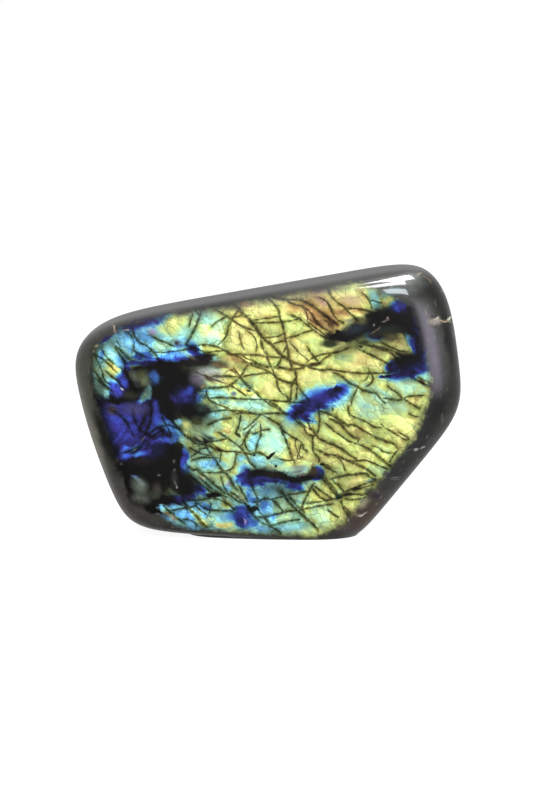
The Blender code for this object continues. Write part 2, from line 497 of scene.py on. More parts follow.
LOWER_LEFT_FLASH = (
    (-33.7, 16.4, 1.4, 0.5, NAVY + 0.02, -25, 0.7),
    (-17.6, 13.2, 2.2, 1.2, NAVY, -30),
    (-21.5, 11.2, 3.4, 0.8, VIOLET, 12),
    (-27.6, 8.9, 1.2, 0.5, SKY + 0.02, 10),
    (-23.6, 8.6, 3, 1.5, SKY, 10),
    (-21, 6.9, 3.2, 1.6, AZURE + 0.05, -20, 0.8),
    (-19, 9.8, 1.8, 0.8, AZURE, -10, 0.6),
    (-18, 8.5, 1.6, 0.8, SKY, -25, 0.5),
    (-27, 8, 1.2, 0.7, AQUA, -20, 0.5),
    (-24.4, 6.3, 1.5, 0.8, MINT + 0.02, -35, 0.5),
    (-18.2, 6.4, 3, 0.8, MINT + 0.04, -46, 0.4),
    (-16.3, 4.5, 1.4, 0.8, LIME, -20, 0.6),
    (-20.5, 4.8, 1.6, 0.7, SKY, -10, 0.6),
    (-15.3, 7.2, 1.4, 2.2, SKY, 0, 0.6),
    (-16, 9, 1.6, 0.9, AZURE, -20, 0.6),
    (-14.3, 5, 1.4, 1.2, AQUA + 0.03, 0, 0.6),
    (-12.5, 6.9, 3, 1.2, CYAN, 0, 0.6),
    (-11.5, 4, 2.4, 0.7, GOLD - 0.03, 0, 0.7),
    (-10.5, 9.5, 1.6, 1.1, LIME, 0, 0.6),
    (-13.5, 9.7, 1.8, 1, AQUA - 0.02, 0, 0.6),
    (-8.7, 10.4, 1.3, 1, AQUA, 0, 0.6),
    (-10.3, 13.8, 1.7, 1.1, SKY, 0, 0.6),
    (-7.3, 12, 2.4, 1.4, MINT, -40, 0.6),
    (-14, 11.9, 1.9, 0.5, BLACK, 3, 0.4),
    (-31, 5.2, 5.4, 2.6, BLACK, -20, 0.8),
    (-21.6, 14.2, 3.6, 2.8, BLACK, -20, 0.8),
)

LOWER_MIDDLE_FLASH = (
    (-4.7, 13.3, 0.9, 2.2, AZURE - 0.02, 0, 0.6),
    (-1, 13.4, 3.4, 2, SKY + 0.02),
    (-4.4, 11, 1.4, 1.4, AZURE),
    (-1, 9.4, 2.2, 2.2, AZURE + 0.04, -20),
    (0.6, 9, 1.2, 1.6, SKY + 0.02, -20, 0.6),
    (2.7, 9.4, 1.7, 1.6, AQUA + 0.03, -30, 0.6),
    (5.2, 8.3, 1.6, 1.5, MINT, -40, 0.6),
    (1.4, 6.7, 1.6, 0.9, AZURE + 0.04, 10, 0.6),
    (0, 5.6, 0.9, 1, CYAN, 0, 0.6),
    (4.2, 6.4, 2.6, 0.8, MINT - 0.02, 10, 0.5),
    (4.8, 3.8, 4.6, 1.3, CYAN + 0.02, 5, 0.6),
    (-3.7, 4.6, 1.2, 1, AZURE, 0, 0.6),
    (-1.5, 3.2, 2.4, 1, SKY + 0.02, 0, 0.6),
    (-9.5, 6.6, 1.6, 1.5, AZURE + 0.04, 0, 0.7),
    (-6.8, 6, 2.6, 3.4, VIOLET - 0.01),
    (-6.8, 8.4, 1.5, 0.8, ROYAL - 0.02, 0, 0.7),
    (-6, 5.2, 0.5, 1, ROYAL + 0.04, 0, 0.8),
    (-4.4, 8.6, 1.2, 0.9, BLACK, 0, 0.5),
    (2.5, 16.2, 12.4, 2.8, AQUA - 0.03, 1.5),
    (-4.8, 16.3, 4.6, 1.5, NAVY + 0.05, 8),
    (-2.6, 17.9, 4.8, 1.6, BLACK, 4, 0.8),
    (3.8, 16.6, 5.6, 1.5, BLACK, -8, 0.8),
    (9.2, 16.6, 4.6, 1.5, BLACK, 12, 0.8),
    (11.8, 18.2, 2.6, 2, BLACK, 20, 0.95),
    (1.5, 15.6, 2.4, 0.8, NAVY + 0.03),
    (4.4, 18.7, 2.6, 0.7, MINT, -8),
    (-6.6, 17.5, 1.8, 0.7, NAVY, 18),
    (8.4, 19.2, 2, 0.6, AQUA, 12),
    (6.4, 14.1, 2.6, 1.2, NAVY + 0.05, -10),
    (12.4, 16.4, 1.8, 0.8, NAVY, 10),
    (13.2, 18.8, 1.2, 1.6, NAVY + 0.02),
    (-2, 15.7, 3.6, 0.9, VIOLET - 0.04),
)

LOWER_RIGHT_FLASH = (
    (12.5, 7.2, 3.4, 3.2, MINT + 0.03, 0, 0.7),
    (12, 12, 2.4, 1.6, CREAM - 0.02, 0, 0.6),
    (15, 21, 3.4, 2, CREAM, 0, 0.8),
    (21, 16.4, 3.4, 1.6, CREAM - 0.01),
    (21, 14.8, 1.4, 0.8, GOLD - 0.03),
    (21.5, 9.4, 2.4, 1.3, LIME + 0.02, 0, 0.5),
    (27, 18.9, 2.8, 1.2, LIME - 0.01, -10, 0.6),
    (36, 31, 1.6, 3.6, LIME + 0.01, 0, 0.8),
    (30, 23.2, 3, 1.4, LIME, -35, 0.7),
    (23, 29, 2, 1.2, CREAM + 0.03, 0, 0.7),
)

# Where the flash is brighter or duller than elsewhere: these spots bring how many times as bright it is.
SHADES = (
    (12, 65, 13, 2.4, 0.55, 9),
    (27, 50.6, 8, 2.6, 0.42, -10),
    (22, 53, 4.5, 2.2, 0.4, 10),
    (34.2, 51.3, 2.4, 3, 0.5, 20),
    (27.2, 61.6, 1.8, 3.2, 0.6, 18),
    (0.2, 13.2, 5, 4.2, 0.46),
    (6.5, 11, 3.6, 4.4, 0.6),
    (-15, 13.5, 5, 4.5, 0.92, -30),
    (-18, 30.5, 4.5, 5, 0.42),
    (-18.5, 24, 3, 4, 0.6),
    (-30.4, 39.8, 3.2, 4.8, 0.34),
    (-43.4, 30, 3.2, 10, 0.3, 14),
    (-14, 10.5, 3, 2, 0.75),
    (15.6, 6.2, 3.6, 2.6, 1.15),
    (3.8, 13.8, 3.8, 3, 0.52, -15),
    (8.4, 10.2, 2.8, 2.2, 1.9),
    (2.4, 5.8, 4.6, 2.2, 1.3),
    (-3.6, 10.2, 1.8, 1.8, 1.25),
    (11.8, 14, 2.4, 2, 0.65),
    (-8.5, 13, 3, 3, 0.72),
    (-20, 15.5, 2.4, 4, 0.6, 20),
    (-7.5, 6, 3, 3, 0.6),
    (16.5, 10.5, 2.6, 2.4, 0.6),
    (19.5, 49.8, 3.6, 2.6, 0.42),
    (15.5, 54.6, 2.6, 2, 0.6, -40),
    (-35.5, 54.6, 5, 2, 0.55, 14),
    (-28, 57.6, 4, 1.6, 0.5, 14),
    (-8, 61, 12, 1.6, 0.4, 9.6),
    (-40, 50.8, 3, 1.6, 0.65, 30),
    (-32, 46.8, 3, 1.4, 0.55),
    (13.4, 33.2, 4, 1.6, 0.62, 25),
    (8.6, 33.4, 3.6, 2.4, 0.72, 20),
    (12.6, 36.4, 7, 2.6, 0.8, 23),
    (5, 30.4, 4.4, 2.2, 0.58, -30),
    (-17, 55, 8, 4.5, 1.45),
    (-43, 42, 2.4, 5, 0.5),
    (-23, 7, 6, 2.6, 1.85, -8),
    (22.8, 9.6, 3.2, 2, 1.25, 30),
    (-22, 15.6, 4, 3.4, 0.4, 10),
    (-18.5, 44.5, 3.4, 3.6, 0.6),
    (-9, 46, 4.4, 2.2, 0.74, -12),
    (-4, 25.6, 2.2, 2.4, 1.35),
    (-4, 38, 2.6, 1.8, 1.25),
    (3.6, 42, 2.8, 2, 1.25),
    (-7.5, 57.5, 3.4, 2.6, 1.25),
    (-31, 50.6, 4.6, 1.8, 1.25, -10),
    (40, 41.8, 2, 1.6, 1.55),
    (32, 43.2, 5.4, 1.8, 0.42, 6),
    (37, 44.6, 4.4, 1.8, 0.62, 4),
    (29, 53.6, 4, 1.6, 0.4, 10),
    (36.2, 50.6, 1.4, 3.4, 0.7, 10),
    (-18.8, 49.4, 3, 1.4, 0.5, -35),
    (-38.8, 46, 3, 3, 1.3),
    (28, 57.6, 2.6, 2.4, 0.4),
    (17, 27.2, 6, 0.9, 1.32, -26, 0.8),
    (20.5, 33, 5, 1, 1.28, -33, 0.8),
    (27, 23.6, 4.4, 0.8, 1.25, -36, 0.8),
    (30.6, 28.6, 4.6, 0.9, 1.2, -33, 0.8),
    (20.4, 29.3, 5.4, 0.9, 0.68, -30, 0.8),
    (24.4, 25.4, 4.6, 0.8, 0.74, -32, 0.8),
    (15, 30.5, 3, 1, 0.66, -30, 0.8),
    (16.2, 18.2, 3.2, 2.4, 0.56, -40),
    (8.4, 27.4, 2, 3.4, 0.76, 20),
    (9.4, 49, 3.6, 1.6, 1.18, -45),
    (2.4, 54.6, 1.6, 4.6, 0.8, 10),
    (-32.2, 30.4, 2.4, 4.2, 0.72),
    (21.4, 13.6, 3.6, 1.5, 0.66, 20),
    (-3.6, 28.4, 2.4, 3.6, 1.25),
    (-7, 34.4, 6, 2, 1.2, -10),
    (5, 43.4, 4.6, 2.8, 1.15),
    (-4.6, 46.6, 3, 1.6, 1.25, -10),
    (-3.4, 57.6, 5.6, 2.6, 1.22),
    (4.4, 50.6, 3, 2.4, 1.2),
    (11.4, 58.6, 2.8, 2.4, 1.25, -40),
    (30.4, 22.4, 4, 2, 1.22, -40),
    (20, 5.4, 3, 2.6, 0.74),
    (-39, 39.6, 2.4, 2.6, 1.4),
    (-25.6, 47.8, 4.6, 1.6, 1.65, 4),
    (12, 21.6, 2.4, 2, 0.6),
    (-31.6, 38.2, 2, 2.4, 0.6),
    (-16.4, 38.4, 2.2, 2.2, 0.6),
    (12, 42.6, 2.8, 1.6, 0.8),
    (20.5, 53.2, 4, 3.4, 0.62, 10),
    (31, 54, 4.4, 2, 0.6),
    (36, 52.6, 2.2, 4.6, 0.62, 5),
    (26, 45.4, 4.6, 1.8, 0.74, -5),
    (35.6, 42.4, 3.4, 1.8, 0.62, 4),
    (25, 17.6, 3.4, 1.4, 0.72, 10),
    (24.2, 14, 2.6, 1.8, 0.72, 10),
    (19.6, 11.6, 3, 1.6, 0.68, 15),
    (9.2, 38.6, 2.8, 1.8, 1.3, 20),
    (19, 31.4, 3.6, 1.6, 1.3, -33),
    (-14, 50, 5, 1.8, 1.32),
    (-11, 38.6, 3.8, 1.6, 1.25),
    (-38.6, 37.6, 3.6, 3.4, 1.35),
    (8.2, 46.4, 3, 2, 1.3),
    (4.2, 54.4, 2.2, 2.4, 1.25),
    (-10, 6.2, 4.6, 2.8, 0.76),
    (-36.6, 22.4, 2.4, 1.8, 1.35),
    (-36.6, 43.4, 2, 4, 1.5, 10),
    (3, 42, 2.4, 2.4, 1.2),
    (-5, 26.4, 1.8, 3, 1.2),
    (-3.6, 38.2, 2.4, 2, 1.2),
    (1, 57.6, 3, 2.6, 1.15),
    (25, 10, 1.8, 2.2, 1.2, 30),
    (35.8, 29, 2.6, 5, 1.3, 20),
    (26, 59.4, 3, 2.4, 1.3, 40),
    (-37, 31, 5.5, 4, 1.3),
    (-38.4, 42, 3, 4, 1.35, -30),
    (-35.5, 23.4, 3.6, 2.4, 1.45),
    (-4, 50, 8, 6, 1.15),
    (2, 60, 6, 3, 1.2),
    (-4, 36, 6, 3, 1.35),
    (1.2, 26, 4.4, 4, 1.35),
    (-14, 38.4, 3, 2, 1.2),
    (-16, 20, 3, 2, 1.2),
    (-39.5, 48.5, 3, 2, 1.3, -50),
    (1.4, 14, 3.6, 1.9, 0.5, -5),
    (20.6, 15.8, 3.6, 3, 0.7),
    (13.6, 17.4, 2.2, 2.6, 0.72),
    (32, 54.2, 5, 2.2, 0.66),
    (35.8, 42, 2.6, 1.6, 0.68),
    (40.2, 42.4, 2, 1.6, 1.4),
    (-20, 46, 2.4, 2, 0.68),
    (-12, 46, 2.4, 1.8, 0.74),
    (-26, 46.2, 3.2, 1.6, 1.45),
    (-40.2, 50.4, 2.6, 1.8, 0.7, 30),
    (-21, 15.4, 3.4, 2.8, 0.66),
    (-36, 38, 2.4, 1.8, 1.35),
    (28.4, 58.4, 2.2, 1.8, 1.35),
    (-4, 46, 2.4, 2.2, 1.28),
    (12, 64.6, 7, 1.6, 1.3, 9),
)

FLASH = (
    *BROAD_FLASH,
    *UPPER_LEFT_FLASH,
    *UPPER_MIDDLE_FLASH,
    *UPPER_RIGHT_FLASH,
    *MIDDLE_LEFT_FLASH,
    *MIDDLE_FLASH,
    *LOWER_LEFT_FLASH,
    *LOWER_MIDDLE_FLASH,
    *LOWER_RIGHT_FLASH,
)


# Fractures seen through the front face: half width in millimetres, then the places that each runs through
# ----------------------------------------------------------

UPPER_LEFT_CRACKS = (
    (0.13, (-43.2, 47.6), (-41.5, 46.5), (-40, 45.2), (-38.5, 43.8)),
    (0.13, (-42, 49), (-40.8, 47.3), (-39.5, 46)),
    (0.13, (-44, 48), (-42.8, 45.5), (-42, 43.5), (-41.3, 41.5), (-40, 40.5)),
    (0.2, (-38.5, 49.8), (-37.5, 48), (-36.2, 46), (-36, 43.5), (-35, 41.5), (-33.5, 39)),
    (0.24, (-37.8, 49.5), (-36.4, 48.2), (-35, 47)),
    (0.13, (-38.5, 51.5), (-37.9, 50.7), (-37.3, 50)),
    (0.13, (-35.3, 53.3), (-34.2, 52), (-34.1, 49.3)),
    (0.2, (-34.2, 53.6), (-32.5, 51.2), (-31, 50.5), (-29.8, 49.5), (-28.3, 48), (-27.3, 46)),
    (0.13, (-34, 49.3), (-32.8, 48.3), (-31.8, 47.8)),
    (0.13, (-29.8, 49), (-28, 48.7), (-25, 48.9), (-20.5, 49.5)),
    (0.15, (-29.5, 52.7), (-27.5, 51.8), (-25.5, 51), (-23.7, 50.2)),
    (0.13, (-43.5, 43), (-41.5, 40.5), (-40, 39)),
    (0.12, (-43.5, 41.8), (-42.2, 40.6), (-41, 39.5)),
    (0.13, (-41.3, 43.8), (-39.5, 42.5), (-38, 41.3), (-36.5, 39.5)),
    (0.12, (-42.2, 46), (-41.2, 46.6), (-39.8, 46.6)),
)

UPPER_MIDDLE_CRACKS = (
    (0.19, (-17.2, 58), (-18.5, 55), (-20, 52.2), (-20.8, 50.7)),
    (0.14, (-18.2, 60.5), (-18.3, 58.8), (-17.2, 58)),
    (0.13, (-19.2, 58), (-19.6, 56.8), (-20, 55.5)),
    (0.17, (-12.8, 59), (-10.5, 57.8), (-8.5, 56.3), (-6, 55), (-3.5, 54.2)),
    (0.27, (-10, 60.8), (-8, 60), (-6.5, 58.2), (-4.3, 56.6), (-3, 54.8)),
    (0.27, (-3, 54.8), (-2, 53), (-0.5, 51.8), (1.2, 50.3), (2.5, 48.8), (4, 47.6), (5.5, 46.6)),
    (0.24, (5.5, 46.6), (7, 45.8), (8.5, 45.4), (11, 45.2)),
    (0.15, (-7.5, 59.3), (-9, 57.3), (-10.2, 54.8), (-10.8, 52.8), (-12.6, 50.8)),
    (0.13, (-14, 55.6), (-12.3, 56.8), (-10.5, 57.7)),
    (0.18, (-18, 50.5), (-15.5, 50.6), (-12.5, 50), (-10.8, 49), (-9.3, 48.3), (-5, 48.1), (-2, 48)),
    (0.18, (-9.5, 48.3), (-7, 47.3), (-5.3, 45.9), (-2, 44.8)),
    (0.14, (-6.8, 48), (-4, 46.5), (-2, 45.6)),
    (0.18, (-5.4, 45.5), (-6.3, 43.8), (-7.5, 42.3), (-9.5, 40.5), (-12, 39.8), (-15.5, 39.6)),
    (0.17, (-14.5, 42.5), (-11, 42.7), (-7.8, 42.5)),
    (0.14, (-17.5, 43.4), (-15, 42.4), (-11.5, 41)),
    (0.13, (-9.5, 40.2), (-7.5, 39), (-6, 38)),
    (0.24, (-7, 42.3), (-5.5, 40.5), (-3, 38.5)),
    (0.15, (-7.3, 42.3), (-4.5, 43), (-1.3, 43.4), (0.3, 43.8)),
    (0.13, (-4.5, 53.5), (-3.3, 52), (-3, 49.5)),
    (0.13, (-20.5, 50.5), (-18.5, 49.8), (-16, 48.7), (-12, 49.1)),
    (0.17, (-8.7, 44.5), (-8, 43.6), (-7.2, 42.8)),
    (0.32, (-4.6, 56.6), (-3.2, 54.9), (-1.4, 52.7)),
    (0.24, (-1.6, 52.9), (-0.6, 51.7), (0.6, 50.7)),
    (0.12, (-7.4, 53.6), (-7, 51.6), (-6.2, 49.6)),
    (0.12, (-9.4, 57.4), (-7.4, 57.8), (-5, 58)),
    (0.13, (-3.4, 56.9), (-0.5, 57.3), (2.6, 57.8)),
    (0.13, (-0.6, 52.5), (1.6, 52.6), (3.6, 53.4)),
    (0.15, (-1.8, 51.8), (-1.2, 49.6), (-0.5, 47.2)),
    (0.13, (-4.4, 46.8), (-2.6, 46), (-1.2, 45.6)),
    (0.13, (-10.6, 43.8), (-9.4, 44.2), (-8.2, 43)),
)

UPPER_RIGHT_CRACKS = (
    (0.2, (0, 62), (1.5, 60.8), (2.6, 59), (3.1, 57), (3.5, 56)),
    (0.2, (3.5, 56), (4, 53.5), (4.5, 51), (4.9, 49), (5.2, 47), (6.1, 44.5)),
    (0.2, (0.5, 62.5), (4.5, 61.9), (7.5, 62), (10, 61), (12, 59.8), (15, 57.5), (17, 56)),
    (0.17, (4.5, 61.8), (6.5, 60.8), (8.5, 60.2), (10, 59.3), (11.5, 57.3), (13, 55.5), (15.5, 54)),
    (0.14, (8.8, 59.8), (9.7, 58), (9.8, 57)),
    (0.16, (6, 58), (7.8, 57.2), (9.5, 56), (11, 54.7), (13, 53.2), (14.8, 52)),
    (0.14, (9.8, 56.5), (12, 54.8), (14.5, 52.8)),
    (0.15, (-3.5, 56.2), (0, 56.2), (3, 56.4), (5.5, 56.7), (7.5, 57.2)),
    (0.14, (4.5, 52.3), (7, 53), (9, 53.8), (11, 54.3)),
    (0.14, (1, 50.8), (2.5, 51.3), (4, 51.7)),
    (0.14, (3.2, 48.3), (4.2, 49.5), (4.6, 51)),
    (0.16, (5.5, 51.2), (7, 49.5), (8.5, 48), (10, 46.8)),
    (0.15, (10, 49.8), (11, 48.3), (12.5, 46.5)),
    (0.15, (10.2, 46.7), (12, 47.7), (15, 48.4), (17.5, 48.9), (20, 49.8)),
    (0.14, (13, 46.2), (14.2, 47.2), (15.5, 48)),
    (0.16, (-6, 48.2), (-3, 48), (0, 47.6), (4, 47.4)),
    (0.15, (-2, 51.8), (-1.5, 50), (-0.5, 48.5), (0, 46.5), (0.5, 45)),
    (0.14, (3.2, 47.2), (2.8, 46.2), (1.8, 45.2), (1, 44.3)),
    (0.23, (-6, 46.3), (-3, 45.6), (-1, 45.2), (0.7, 44.9), (3, 44.9), (5.5, 44.5), (9, 45)),
    (0.16, (13, 62.5), (15, 61), (15.8, 59.5), (16.5, 58), (17.5, 56.8), (19, 56.2)),
    (0.16, (15, 64.8), (15.8, 63), (17.5, 61.3), (19.5, 59.7), (21, 58), (22.5, 56.8)),
    (0.14, (19.5, 59.7), (22, 59.8), (24, 59.4)),
    (0.15, (24, 63.5), (25.5, 61.5), (26, 60)),
    (0.14, (26, 61.8), (27.2, 61.5), (28.5, 61.2)),
    (0.15, (23.5, 59.8), (25, 59.2), (26.5, 58.5)),
    (0.15, (20.5, 58.8), (21.5, 57.8), (22.5, 56.8)),
    (0.17, (22.5, 49.7), (25, 48.5), (28, 47), (30.5, 45.8)),
    (0.17, (25, 50.5), (28, 49.8), (31, 48.5), (32.5, 47)),
    (0.15, (27, 50.5), (30, 49.5), (33, 48.3)),
    (0.14, (29, 51), (32, 49.5), (34, 49)),
    (0.14, (26, 43.5), (26.3, 42.8), (25, 40.2)),
    (0.16, (37, 42), (39, 40.8), (41, 40)),
    (0.15, (38, 42.3), (39.6, 41.5), (41.2, 40.6)),
)

MIDDLE_LEFT_CRACKS = (
    (0.14, (-29.6, 33.5), (-30.4, 30), (-31.6, 27.5)),
    (0.13, (-38.8, 33.4), (-36, 30.8), (-34.4, 27.6)),
    (0.12, (-34, 31.6), (-32.4, 29), (-29.8, 27.2)),
    (0.15, (-29.5, 28.5), (-27, 29.8), (-25.5, 30.2)),
    (0.14, (-29, 27.5), (-27.9, 28.3), (-26.8, 29)),
    (0.15, (-34.8, 22.9), (-32.5, 24.3), (-31.5, 25)),
    (0.15, (-36.5, 23), (-34, 24), (-31.5, 25.7)),
    (0.14, (-15, 39.8), (-15.7, 39), (-15.3, 37.5), (-15, 36.5)),
    (0.18, (-16, 37.5), (-13, 35.6), (-11.5, 35), (-9.5, 34), (-8, 33.2)),
    (0.15, (-15.5, 37.1), (-13, 37.2), (-9, 37.1), (-5, 36.8), (-2, 36.8)),
    (0.14, (-10, 34), (-8, 33.8), (-5, 33.6), (-3.8, 33.1)),
    (0.14, (-15, 33.5), (-12.5, 33.9), (-10, 34)),
    (0.18, (-15, 30.4), (-13.3, 31.2), (-11.5, 31.8), (-9.5, 31.9)),
    (0.16, (-22, 28), (-20.5, 27), (-19, 25.8), (-17.5, 24.9)),
    (0.14, (-25, 30), (-23.5, 29.5), (-22, 28.3)),
    (0.23, (-14.8, 24.9), (-13.8, 24.1), (-12.3, 23.5)),
    (0.14, (-14.8, 25.9), (-13.3, 26.1), (-11.3, 26.5), (-10, 27)),
    (0.15, (-17.5, 24), (-16.5, 24.2), (-15.5, 24.3)),
    (0.15, (-19.5, 22), (-18.5, 22.8), (-17.5, 23.5)),
    (0.15, (-19, 21.2), (-17, 21.8), (-15, 21.9)),
    (0.14, (-17, 18), (-14, 17.9), (-11, 18)),
    (0.15, (-19.8, 24.2), (-18.4, 23.4), (-17, 22.8), (-15.2, 22.4)),
    (0.14, (-19, 25.4), (-17.2, 25.3), (-15.4, 24.8)),
    (0.13, (-14, 25.2), (-12, 23.8), (-9, 23.4), (-7, 23.2)),
    (0.13, (-12, 23.4), (-12.2, 22), (-12.4, 20.8)),
    (0.13, (-15.2, 21.9), (-13.9, 21.8), (-12.5, 21.6)),
    (0.2, (-20.6, 19.8), (-19.4, 18.8), (-18.1, 18.7)),
    (0.14, (-26.8, 31.8), (-25.6, 29.6), (-24.8, 27.4)),
    (0.14, (-24.4, 31.4), (-22.9, 29.4), (-21.4, 28)),
)

MIDDLE_CRACKS = (
    (0.14, (-2.1, 32.9), (-3, 31.9), (-5, 30), (-6.2, 29)),
    (0.16, (-3.8, 29.9), (-5.7, 27.4), (-6.5, 25.4), (-7.2, 24.8)),
    (0.14, (-5, 28), (-5.9, 25.3), (-5.3, 24), (-4.7, 23.4)),
    (0.15, (-7, 33), (-7.2, 31.5), (-7.5, 30), (-8.3, 28.3)),
    (0.18, (-12.3, 28.1), (-10.3, 26.8), (-8.7, 25.6), (-7.2, 24.4), (-6.3, 23.4)),
    (0.2, (-6.3, 23.4), (-5.6, 22.4), (-5, 21), (-4.3, 20.1), (-3.5, 19.4)),
    (0.22, (-15.7, 24.4), (-14.8, 23.1), (-13.3, 21), (-12.5, 19.5), (-11.3, 18.2)),
    (0.22, (-11.3, 18.2), (-10, 16.8), (-9.5, 16), (-9, 14.9), (-8, 13.6)),
    (0.15, (-8, 23.3), (-8.3, 22), (-8.5, 20.5), (-9, 19.3), (-10.5, 18.5), (-12.3, 18)),
    (0.17, (-5.8, 23), (-4.5, 22.8), (-2.9, 23.1), (-1.6, 22.8), (-0.5, 21.9)),
    (0.14, (-2, 30.3), (-1.9, 29.3), (-2.1, 27), (-2.7, 25.7), (-3.2, 23.4)),
    (0.14, (-4, 28), (-2.9, 28.2), (-2, 28.7), (0, 29.1)),
    (0.19, (0.2, 46), (0.9, 44.5), (1.3, 43.2), (2, 42.1), (2.3, 40.9), (2.4, 39.8)),
    (0.19, (2.4, 39.8), (3.1, 38.7), (4.2, 37.8), (4.9, 36.9), (5.4, 36)),
    (0.22, (6.1, 44.5), (7.1, 42.9), (7, 41.8), (7.5, 40), (8.6, 38.5), (9.7, 37.2), (10.2, 36.5)),
    (0.17, (-4, 45.5), (-1.8, 44.7), (0.2, 43.8), (1.2, 43)),
    (0.17, (10, 45), (12.3, 44.4), (15, 44.4), (17.2, 44.1), (20, 43.7), (24, 43.4), (31, 43.7)),
    (0.18, (2, 42.2), (3.2, 41.7), (5, 41), (7, 40.9)),
    (0.16, (7.1, 42.5), (6.4, 41.4), (5.8, 40.2), (5.7, 38), (5.5, 36.7)),
    (0.15, (7.3, 40), (7.1, 38.5), (7, 37)),
    (0.18, (-4, 39.8), (-3, 38.3), (-1.6, 36.9), (0, 35.8), (1.1, 35.1), (2.3, 34.5), (3.8, 33.3)),
    (0.14, (-0.2, 36.3), (1.4, 35.6), (2.9, 34.4), (3.9, 33.5)),
    (0.17, (-4, 36.8), (-2, 36.8), (0, 36.7), (3.2, 36.3), (5, 36.3), (6.8, 36), (8.9, 36.2)),
    (0.19, (-8, 33.2), (-4, 33.2), (-2.1, 32.9), (0, 33.2), (1.5, 33.3), (3.2, 33.2), (5, 33.2)),
    (0.19, (-1.6, 32.9), (-0.4, 32.2), (1.1, 31.3), (2.3, 30.6), (3.2, 30), (3.8, 28.6), (5, 27.9)),
    (0.19, (5, 27.9), (6.4, 27), (7.9, 26.2), (8.6, 25.2), (8.9, 24), (10, 23.4)),
    (0.17, (2.9, 30.2), (3.2, 29.1), (4.1, 27.3), (4.6, 25.7), (5, 24.4), (5.4, 23), (6.1, 21.5)),
    (0.16, (5.2, 25), (5.6, 23), (6.2, 21.5), (6.8, 20.3)),
    (0.14, (6.8, 26.2), (7, 24.5), (7.7, 22.8), (8.2, 21.9)),
    (0.14, (2, 21.8), (3.2, 21.4), (4.6, 21.1), (6.1, 21.1), (7.2, 21.3), (8.6, 21.9)),
)

